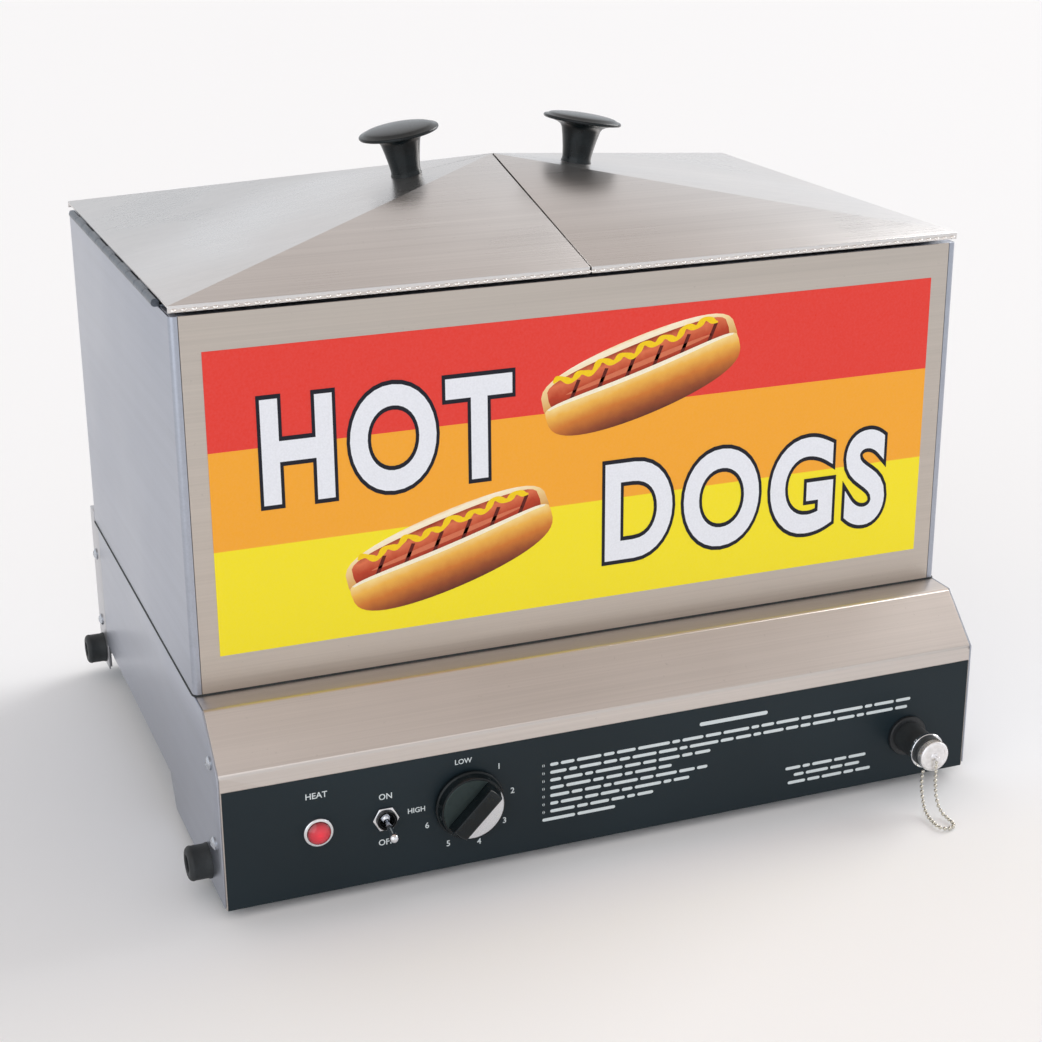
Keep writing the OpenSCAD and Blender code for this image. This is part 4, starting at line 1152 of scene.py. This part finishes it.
def build_dial():
    skirt = [(3.05, 0.8), (20.4, 0.8), (21.0, 1.3), (21.0, 3.2), (20.6, 3.7), (20.2, 3.9), (20.0, 4.3),
             (19.6, 8.2), (19.3, 8.85), (18.9, 9.0), (3.05, 9.0)]
    body = turned("dial_skirt", mm(skirt), on_panel(DIAL.x, DIAL.z), FRONT, "gloss_phenolic",
                  sides=96, smooth=28)
    rings = []
    for reach, half, height in ((18.2, 5.5, 8.5), (17.6, 5.4, 12.5), (16.6, 5.1, 16.4), (16.1, 4.8, 17.4),
                                (15.4, 4.2, 17.85), (14.2, 3.2, 18.0)):
        span = math.asin(half / reach)
        plan = [(reach * math.cos(a), reach * math.sin(a)) for a in
                [-span + 2 * span * i / 8 for i in range(9)]]
        plan += [(-px, -py) for px, py in plan]
        rings.append([on_dial(px, py, height) for px, py in plan])
    grip = lofted("dial_grip", rings, "gloss_phenolic", smooth=35)
    knob = merged("thermostat_dial_knob", [body, grip])
    dress(knob, "thermostat_dial", "knob_plastic", "thermostat_knob")
    build_inlays()
    eased("thermostat_spindle", "screw_plate", width=0)
    for node, look in (("thermostat_body", "black_moulding"), ("thermostat_bulb", "copper_tube")):
        eased(node, look, width=0)


def build_inlays():
    """Two half-moons beside the grip, each sloping down to the rim of the dial: one bright foil, the other
    tinted dark grey-green as painted shade.
    """
    out, near = 18.4, 5.8
    moons = []
    for side in (1, -1):
        span = math.acos(near / out)
        plan = [(out * math.sin(a), out * math.cos(a))
                for a in [-span + 2 * span * i / 24 for i in range(25)]]
        rings = []
        for shrink, lift in ((0.0, None), (0.0, 0.0), (0.35, 0.25)):
            ring = []
            for px, py in plan:
                qx, qy = px * (1 - shrink / out), py * (1 - shrink / out)
                height = 8.2 if lift is None else 8.95 + lift + 0.1 * (out - qy)
                ring.append(on_dial(side * qx, side * qy, height))
            rings.append(ring)
        # The inlay on the side > 0 is tinted dark as painted shade; the other is bright foil
        moons.append(lofted(f"dial_inlay_{side}", rings, "worn_foil" if side > 0 else "foil", smooth=30))
    dress(merged("dial_inlays", moons), "thermostat_dial", slot_of("knob_inlays"), "knob_inlays")


# ---- Drain ----

CAP_BACK, CAP_FACE = 29.0 * MM, 34.0 * MM


def build_drain():
    here = on_panel(DRAIN.x, DRAIN.z)
    collar = [(10.0, 0.0), (12.8, 0.0), (13.0, 0.4), (13.0, 2.2), (12.6, 2.8), (11.8, 3.0), (10.0, 3.0)]
    sleeve = [(7.6, -5.6), (9.95, -5.6), (9.95, 3.0), (10.0, 3.4), (9.7, 5.0), (9.7, 20.5), (10.0, 21.0),
              (10.0, 28.2), (9.5, 28.7), (7.6, 28.7)]
    ring = [(10.0, 22.5), (11.1, 22.5), (11.4, 22.9), (11.4, 24.7), (11.1, 25.1), (10.0, 25.1)]
    for name, profile, look, slot, node in (
            ("drain_bulkhead_nut", collar, "black_moulding", "black_fitting", "drain_collar"),
            ("drain_hose", sleeve, "rubber", "black_rubber", "drain_sleeve"),
            ("drain_clamp_ring", ring, "chrome_trim", "chrome_trim", "drain_ring")):
        piece = turned(name, mm(profile), here, FRONT, look, sides=64)
        dress(piece, "cabinet", slot, node)
    eased("drain_pipe", "screw_plate", width=0)
    cap = [(0, 17), (5.9, 17), (5.9, 29.0), (9.3, 29.0), (9.6, 29.3), (9.6, 33.2), (9.1, 33.8), (8.4, 34.0),
           (7.4, 33.9), (7.1, 33.5), (2.6, 33.5), (2.2, 34.0), (1.0, 34.3), (1.0, 36.4)]
    profile = mm(cap) + arc((0.9 * MM, 37.0 * MM), 0.6 * MM, -60, 90, 5) + [(0, 37.6 * MM)]
    stopper = turned("drain_cap_body", profile, here, FRONT, "cap_plate", sides=64, smooth=35)
    bm = bmesh.new()
    half, out = 0.45 * MM, 0.38 * MM
    for corner_x, corner_z in ((-half, 0), (half, 0), (0, out)):
        for y in (-CAP_BACK - 0.5 * MM, -CAP_FACE + 1.0 * MM):
            bm.verts.new((corner_x, y, 9.6 * MM + corner_z))
    v = list(bm.verts)
    for face in ((0, 2, 4), (1, 5, 3), (0, 1, 3, 2), (2, 3, 5, 4), (4, 5, 1, 0)):
        bm.faces.new([v[i] for i in face])
    bmesh.ops.recalc_face_normals(bm, faces=bm.faces)
    ridge = bpy.data.meshes.new("cap_ridge")
    bm.to_mesh(ridge)
    bm.free()
    ridges = grown("drain_cap_ridges", ridge, ring_tree, Count=bpy.context.scene.steamer_sizes.knurls,
                   Axis_Place=(DRAIN.x, PANEL_Y, DRAIN.z), Finish=finish("cap_plate"))
    both = merged("drain_cap_finished", [stopper, ridges])
    dress(both, "drain_stopper", "chrome_trim", "drain_cap")


# The chain's route from the cap to the ring, as offsets in metres from the place on the
# table under the drain, where the front panel's face would meet it
CHAIN_ROUTE = (
    (0, -0.036, 0.0328), (0, -0.036, 0.027), (0, -0.0362, 0.021), (0, -0.037, 0.015),
    (0, -0.0385, 0.0095), (0, -0.0415, 0.005), (0.0002, -0.046, 0.0022), (0.0006, -0.051, 0.0014),
    (0.0006, -0.0565, 0.0013), (-0.0006, -0.0605, 0.0013), (-0.0034, -0.0625, 0.0013),
    (-0.0068, -0.0625, 0.0013), (-0.0096, -0.0605, 0.0013), (-0.0106, -0.0565, 0.0013),
    (-0.0104, -0.051, 0.0014), (-0.0098, -0.046, 0.0018), (-0.0089, -0.0412, 0.003),
    (-0.0078, -0.0368, 0.0056), (-0.0066, -0.033, 0.0094), (-0.0054, -0.0298, 0.0136),
    (-0.0042, -0.0276, 0.018), (-0.003, -0.0264, 0.0225))


def build_chain():
    sizes = bpy.context.scene.steamer_sizes
    start = Vector((DRAIN.x, DRAIN.y, 0))
    points = [start + Vector(p) for p in CHAIN_ROUTE]
    chain = grown("bead_chain", line_mesh("bead_chain", points), beads_tree, Bead_Radius=sizes.chain_bead,
                  Stretch=(1, 1, 1), Pitch=sizes.chain_pitch, Wire_Radius=0.3 * sizes.chain_bead,
                  Finish=finish("chain_plate"))
    dress(chain, "cabinet", "chain_metal", "ball_chain")


# ---- Feet, screws, racks and what is inside ----

def build_feet():
    for node in ("foot_front_left", "foot_front_right", "foot_rear_left", "foot_rear_right"):
        low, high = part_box(node)
        tall = high.z - low.z
        wide = (high.x - low.x) / 2
        profile = [(6.0 * MM, 0), (wide - 3.2 * MM, 0), (wide - 2.0 * MM, 0.5 * MM),
                   (wide - 1.5 * MM, 1.6 * MM)]
        for i in range(4):
            at = 3.5 * MM + i * 4.4 * MM
            back = wide - 1.3 * MM + (i / 4) * 0.9 * MM
            profile += [(back, at), (back - 0.5 * MM, at + 0.5 * MM), (back - 0.5 * MM, at + 1.1 * MM),
                        (back + 0.1 * MM, at + 1.6 * MM)]
        profile += [(wide - 0.3 * MM, tall - 0.8 * MM), (wide - 0.8 * MM, tall), (2.5 * MM, tall),
                    (2.5 * MM, tall - 6 * MM), (6.0 * MM, tall - 6 * MM)]
        place = Vector(((low.x + high.x) / 2, (low.y + high.y) / 2, 0))
        foot = turned("rubber_" + node, profile, place, (0, 0, 1), "rubber", sides=56)
        dress(foot, "cabinet", "foot_rubber", node)
    for node in ("bumper_front_left", "bumper_front_right", "bumper_rear_left", "bumper_rear_right"):
        low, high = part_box(node)
        side = -1 if low.x < 0 else 1
        length, r = high.x - low.x, (high.z - low.z) / 2
        profile = [(2.0 * MM, 0), (r, 0), (r, 1.0 * MM), (r - 0.4 * MM, 2.0 * MM),
                   (r - 0.4 * MM, length - 3.4 * MM)]
        profile += arc((r - 3.0 * MM, length - 2.8 * MM), 2.8 * MM, 0, 90, 6)
        profile += [(5.6 * MM, length), (5.0 * MM, length - 0.6 * MM), (5.0 * MM, 5 * MM), (2.0 * MM, 5 * MM)]
        place = Vector((low.x if side > 0 else high.x, (low.y + high.y) / 2, (low.z + high.z) / 2))
        bumper = turned("rubber_" + node, profile, place, (side, 0, 0), "rubber", sides=56)
        dress(bumper, "cabinet", "foot_rubber", node)


def build_screws():
    for node in ("foot_screws", "bumper_screws", "panel_screws"):
        eased(node, "screw_plate", width=0)


def build_racks():
    for node in ("bun_rack", "hot_dog_rack"):
        eased(node, "rack_plate", width=0, smooth=40)


def build_tank():
    eased("water_tank", "tank_steel", width=0.3 * MM)
    eased("divider", "side_steel", width=0.25 * MM)
    for node, look in (("heating_element", "element_sheath"), ("element_clamp", "plain_steel")):
        eased(node, look, width=0)


def build_services():
    for node, look in (("cord_gland", "black_moulding"), ("terminal_block", "cream_moulding"),
                       ("wiring", "red_insulation")):
        eased(node, look, width=0)


# ---- Stage ----

VIEW_TURN, VIEW_RISE, VIEW_ROLL = math.radians(-21.28), math.radians(19.96), math.radians(-0.35)
VIEW_AT, VIEW_AWAY, LENS = Vector((0.0046, 0.0, 0.1477)), 1.3029, 68.76


def aimed(kind, place, target, roll=0.0):
    """An object at place that looks at target."""
    kind.location = place
    back = (Vector(place) - Vector(target)).normalized()
    side = Vector((0, 0, 1)).cross(back).normalized()
    up = back.cross(side)
    facing = Matrix((side, up, back)).transposed()
    kind.rotation_euler = (facing @ Matrix.Rotation(roll, 3, "Z")).to_euler()


def build_stage():
    scene = bpy.context.scene
    camera = bpy.data.objects.new("camera", bpy.data.cameras.new("camera"))
    scene.collection.objects.link(camera)
    camera.data.lens = LENS
    camera.data.sensor_width = 36
    camera.data.clip_end = 300
    back = Vector((math.sin(VIEW_TURN) * math.cos(VIEW_RISE), -math.cos(VIEW_TURN) * math.cos(VIEW_RISE),
                   math.sin(VIEW_RISE)))
    aimed(camera, VIEW_AT + VIEW_AWAY * back, VIEW_AT, VIEW_ROLL)
    scene.camera = camera

    bm = bmesh.new()
    bmesh.ops.create_grid(bm, x_segments=1, y_segments=1, size=60)
    bmesh.ops.translate(bm, verts=bm.verts, vec=(0, 0, -0.0004))
    mesh = bpy.data.meshes.new("floor")
    bm.to_mesh(mesh)
    bm.free()
    floor = bpy.data.objects.new("floor", mesh)
    scene.collection.objects.link(floor)
    look = Look("studio_floor")
    look.set(Base_Color=(0.905, 0.92, 0.935, 1), Roughness=0.9)
    mesh.materials.append(look.material)

    for name, towards, spread, strength, tint in (
            ("key", (0.82, 0.28, 0.47), 38, 1.75, (1, 0.985, 0.97)),
            ("fill", (-0.7, -0.75, 0.55), 60, 0.55, (0.9, 0.95, 1))):
        light = bpy.data.lights.new(name, "SUN")
        light.angle = math.radians(spread)
        light.energy = strength
        light.color = tint
        lamp = bpy.data.objects.new(name, light)
        scene.collection.objects.link(lamp)
        aimed(lamp, 4 * Vector(towards), Vector((0, 0, 0.2)))

    sky = bpy.data.worlds.new("studio")
    sky.use_nodes = True
    nodes, links = sky.node_tree.nodes, sky.node_tree.links
    where = nodes.new("ShaderNodeTexCoord")
    height = nodes.new("ShaderNodeSeparateXYZ")
    ramp = nodes.new("ShaderNodeValToRGB")
    for element, (at, colour) in zip(ramp.color_ramp.elements,
                                     ((0.2, srgb(246, 250, 255)), (0.78, srgb(216, 207, 202)))):
        element.position = at
        element.color = colour
    links.new(where.outputs["Generated"], height.inputs[0])
    links.new(height.outputs["Z"], ramp.inputs["Fac"])
    links.new(ramp.outputs["Color"], nodes["Background"].inputs["Color"])
    nodes["Background"].inputs["Strength"].default_value = 0.97
    scene.world = sky
    scene.view_settings.view_transform = "Standard"


# ---- Operators ----

class STEAMER_OT_stage(bpy.types.Operator):
    """Sets up the camera, the floor, the lights and the pale surroundings"""
    bl_idname = "steamer.stage"
    bl_label = "Stage"
    bl_options = {"REGISTER", "UNDO"}

    def execute(self, context):
        build_stage()
        return {"FINISHED"}


class STEAMER_OT_chain(bpy.types.Operator):
    """Strings the bead chain that keeps the drain cap"""
    bl_idname = "steamer.chain"
    bl_label = "Drain chain"
    bl_options = {"REGISTER", "UNDO"}

    def execute(self, context):
        build_chain()
        return {"FINISHED"}


class STEAMER_OT_cabinet(bpy.types.Operator):
    """Rounds and brushes the folded sheets of the base"""
    bl_idname = "steamer.cabinet"
    bl_label = "Cabinet sheets"
    bl_options = {"REGISTER", "UNDO"}

    def execute(self, context):
        build_cabinet()
        return {"FINISHED"}


class STEAMER_OT_box(bpy.types.Operator):
    """Wraps the box's side walls round its corners and seals its foot"""
    bl_idname = "steamer.box"
    bl_label = "Steaming box"
    bl_options = {"REGISTER", "UNDO"}

    def execute(self, context):
        build_box()
        return {"FINISHED"}


class STEAMER_OT_graphic(bpy.types.Operator):
    """Prints the bands, the words and the two hot dogs on the box"""
    bl_idname = "steamer.graphic"
    bl_label = "Graphic"
    bl_options = {"REGISTER", "UNDO"}

    def execute(self, context):
        build_graphic()
        return {"FINISHED"}


class STEAMER_OT_label(bpy.types.Operator):
    """Prints the captions and the rows of small bars on the label"""
    bl_idname = "steamer.label"
    bl_label = "Control label"
    bl_options = {"REGISTER", "UNDO"}

    def execute(self, context):
        build_label()
        return {"FINISHED"}


class STEAMER_OT_lids(bpy.types.Operator):
    """Rounds the lids' folds and beads their hems"""
    bl_idname = "steamer.lids"
    bl_label = "Lids"
    bl_options = {"REGISTER", "UNDO"}

    def execute(self, context):
        build_lids()
        return {"FINISHED"}


class STEAMER_OT_hinges(bpy.types.Operator):
    """Finishes the hinge leaves, knuckles and pins"""
    bl_idname = "steamer.hinges"
    bl_label = "Hinges"
    bl_options = {"REGISTER", "UNDO"}

    def execute(self, context):
        build_hinges()
        return {"FINISHED"}


class STEAMER_OT_lid_knobs(bpy.types.Operator):
    """Turns the two moulded lid knobs"""
    bl_idname = "steamer.lid_knobs"
    bl_label = "Lid knobs"
    bl_options = {"REGISTER", "UNDO"}

    def execute(self, context):
        build_lid_knobs()
        return {"FINISHED"}


class STEAMER_OT_pilot(bpy.types.Operator):
    """Turns the pilot light's ring and its red jewel"""
    bl_idname = "steamer.pilot"
    bl_label = "Pilot light"
    bl_options = {"REGISTER", "UNDO"}

    def execute(self, context):
        build_pilot()
        return {"FINISHED"}


class STEAMER_OT_toggle(bpy.types.Operator):
    """Makes the switch's bushing, nut and bat lever"""
    bl_idname = "steamer.toggle"
    bl_label = "Toggle switch"
    bl_options = {"REGISTER", "UNDO"}

    def execute(self, context):
        build_toggle()
        return {"FINISHED"}


class STEAMER_OT_dial(bpy.types.Operator):
    """Makes the dial with its grip and its two inlays, one bright and one tinted dark as painted shade"""
    bl_idname = "steamer.dial"
    bl_label = "Thermostat dial"
    bl_options = {"REGISTER", "UNDO"}

    def execute(self, context):
        build_dial()
        return {"FINISHED"}


class STEAMER_OT_drain(bpy.types.Operator):
    """Makes the drain's hose, clamp ring and knurled cap"""
    bl_idname = "steamer.drain"
    bl_label = "Drain"
    bl_options = {"REGISTER", "UNDO"}

    def execute(self, context):
        build_drain()
        return {"FINISHED"}


class STEAMER_OT_feet(bpy.types.Operator):
    """Turns the rubber feet and the side bumpers"""
    bl_idname = "steamer.feet"
    bl_label = "Feet and bumpers"
    bl_options = {"REGISTER", "UNDO"}

    def execute(self, context):
        build_feet()
        return {"FINISHED"}


class STEAMER_OT_screws(bpy.types.Operator):
    """Plates the screws"""
    bl_idname = "steamer.screws"
    bl_label = "Screws"
    bl_options = {"REGISTER", "UNDO"}

    def execute(self, context):
        build_screws()
        return {"FINISHED"}


class STEAMER_OT_racks(bpy.types.Operator):
    """Finishes the two wire racks"""
    bl_idname = "steamer.racks"
    bl_label = "Racks"
    bl_options = {"REGISTER", "UNDO"}

    def execute(self, context):
        build_racks()
        return {"FINISHED"}


class STEAMER_OT_tank(bpy.types.Operator):
    """Finishes the water tank, the divider and the heating element"""
    bl_idname = "steamer.tank"
    bl_label = "Tank and element"
    bl_options = {"REGISTER", "UNDO"}

    def execute(self, context):
        build_tank()
        return {"FINISHED"}


class STEAMER_OT_services(bpy.types.Operator):
    """Finishes the cord gland, the terminals and the leads"""
    bl_idname = "steamer.services"
    bl_label = "Rear services"
    bl_options = {"REGISTER", "UNDO"}

    def execute(self, context):
        build_services()
        return {"FINISHED"}


OPERATORS = (
    STEAMER_OT_stage, STEAMER_OT_chain, STEAMER_OT_cabinet, STEAMER_OT_box, STEAMER_OT_graphic,
    STEAMER_OT_label, STEAMER_OT_lids, STEAMER_OT_hinges, STEAMER_OT_lid_knobs, STEAMER_OT_pilot,
    STEAMER_OT_toggle, STEAMER_OT_dial, STEAMER_OT_drain, STEAMER_OT_feet, STEAMER_OT_screws,
    STEAMER_OT_racks, STEAMER_OT_tank, STEAMER_OT_services)


class STEAMER_PT_panel(bpy.types.Panel):
    """Lists the steps that build the steamer"""
    bl_idname = "STEAMER_PT_panel"
    bl_label = "Hot dog steamer"
    bl_space_type = "VIEW_3D"
    bl_region_type = "UI"
    bl_category = "Steamer"

    def draw(self, context):
        layout = self.layout
        for group in (context.scene.steamer_sizes, context.scene.steamer_colours):
            for name in type(group).__annotations__:
                layout.prop(group, name)
        for operator in OPERATORS:
            layout.operator(operator.bl_idname)


CLASSES = (SteamerSizes, SteamerColours) + OPERATORS + (STEAMER_PT_panel,)


def register():
    for cls in CLASSES:
        bpy.utils.register_class(cls)
    bpy.types.Scene.steamer_sizes = PointerProperty(type=SteamerSizes)
    bpy.types.Scene.steamer_colours = PointerProperty(type=SteamerColours)


def unregister():
    del bpy.types.Scene.steamer_colours
    del bpy.types.Scene.steamer_sizes
    for cls in reversed(CLASSES):
        bpy.utils.unregister_class(cls)


def main():
    register()
    for operator in OPERATORS:
        getattr(bpy.ops.steamer, operator.bl_idname.split(".")[1])()


if __name__ == "__main__":
    main()
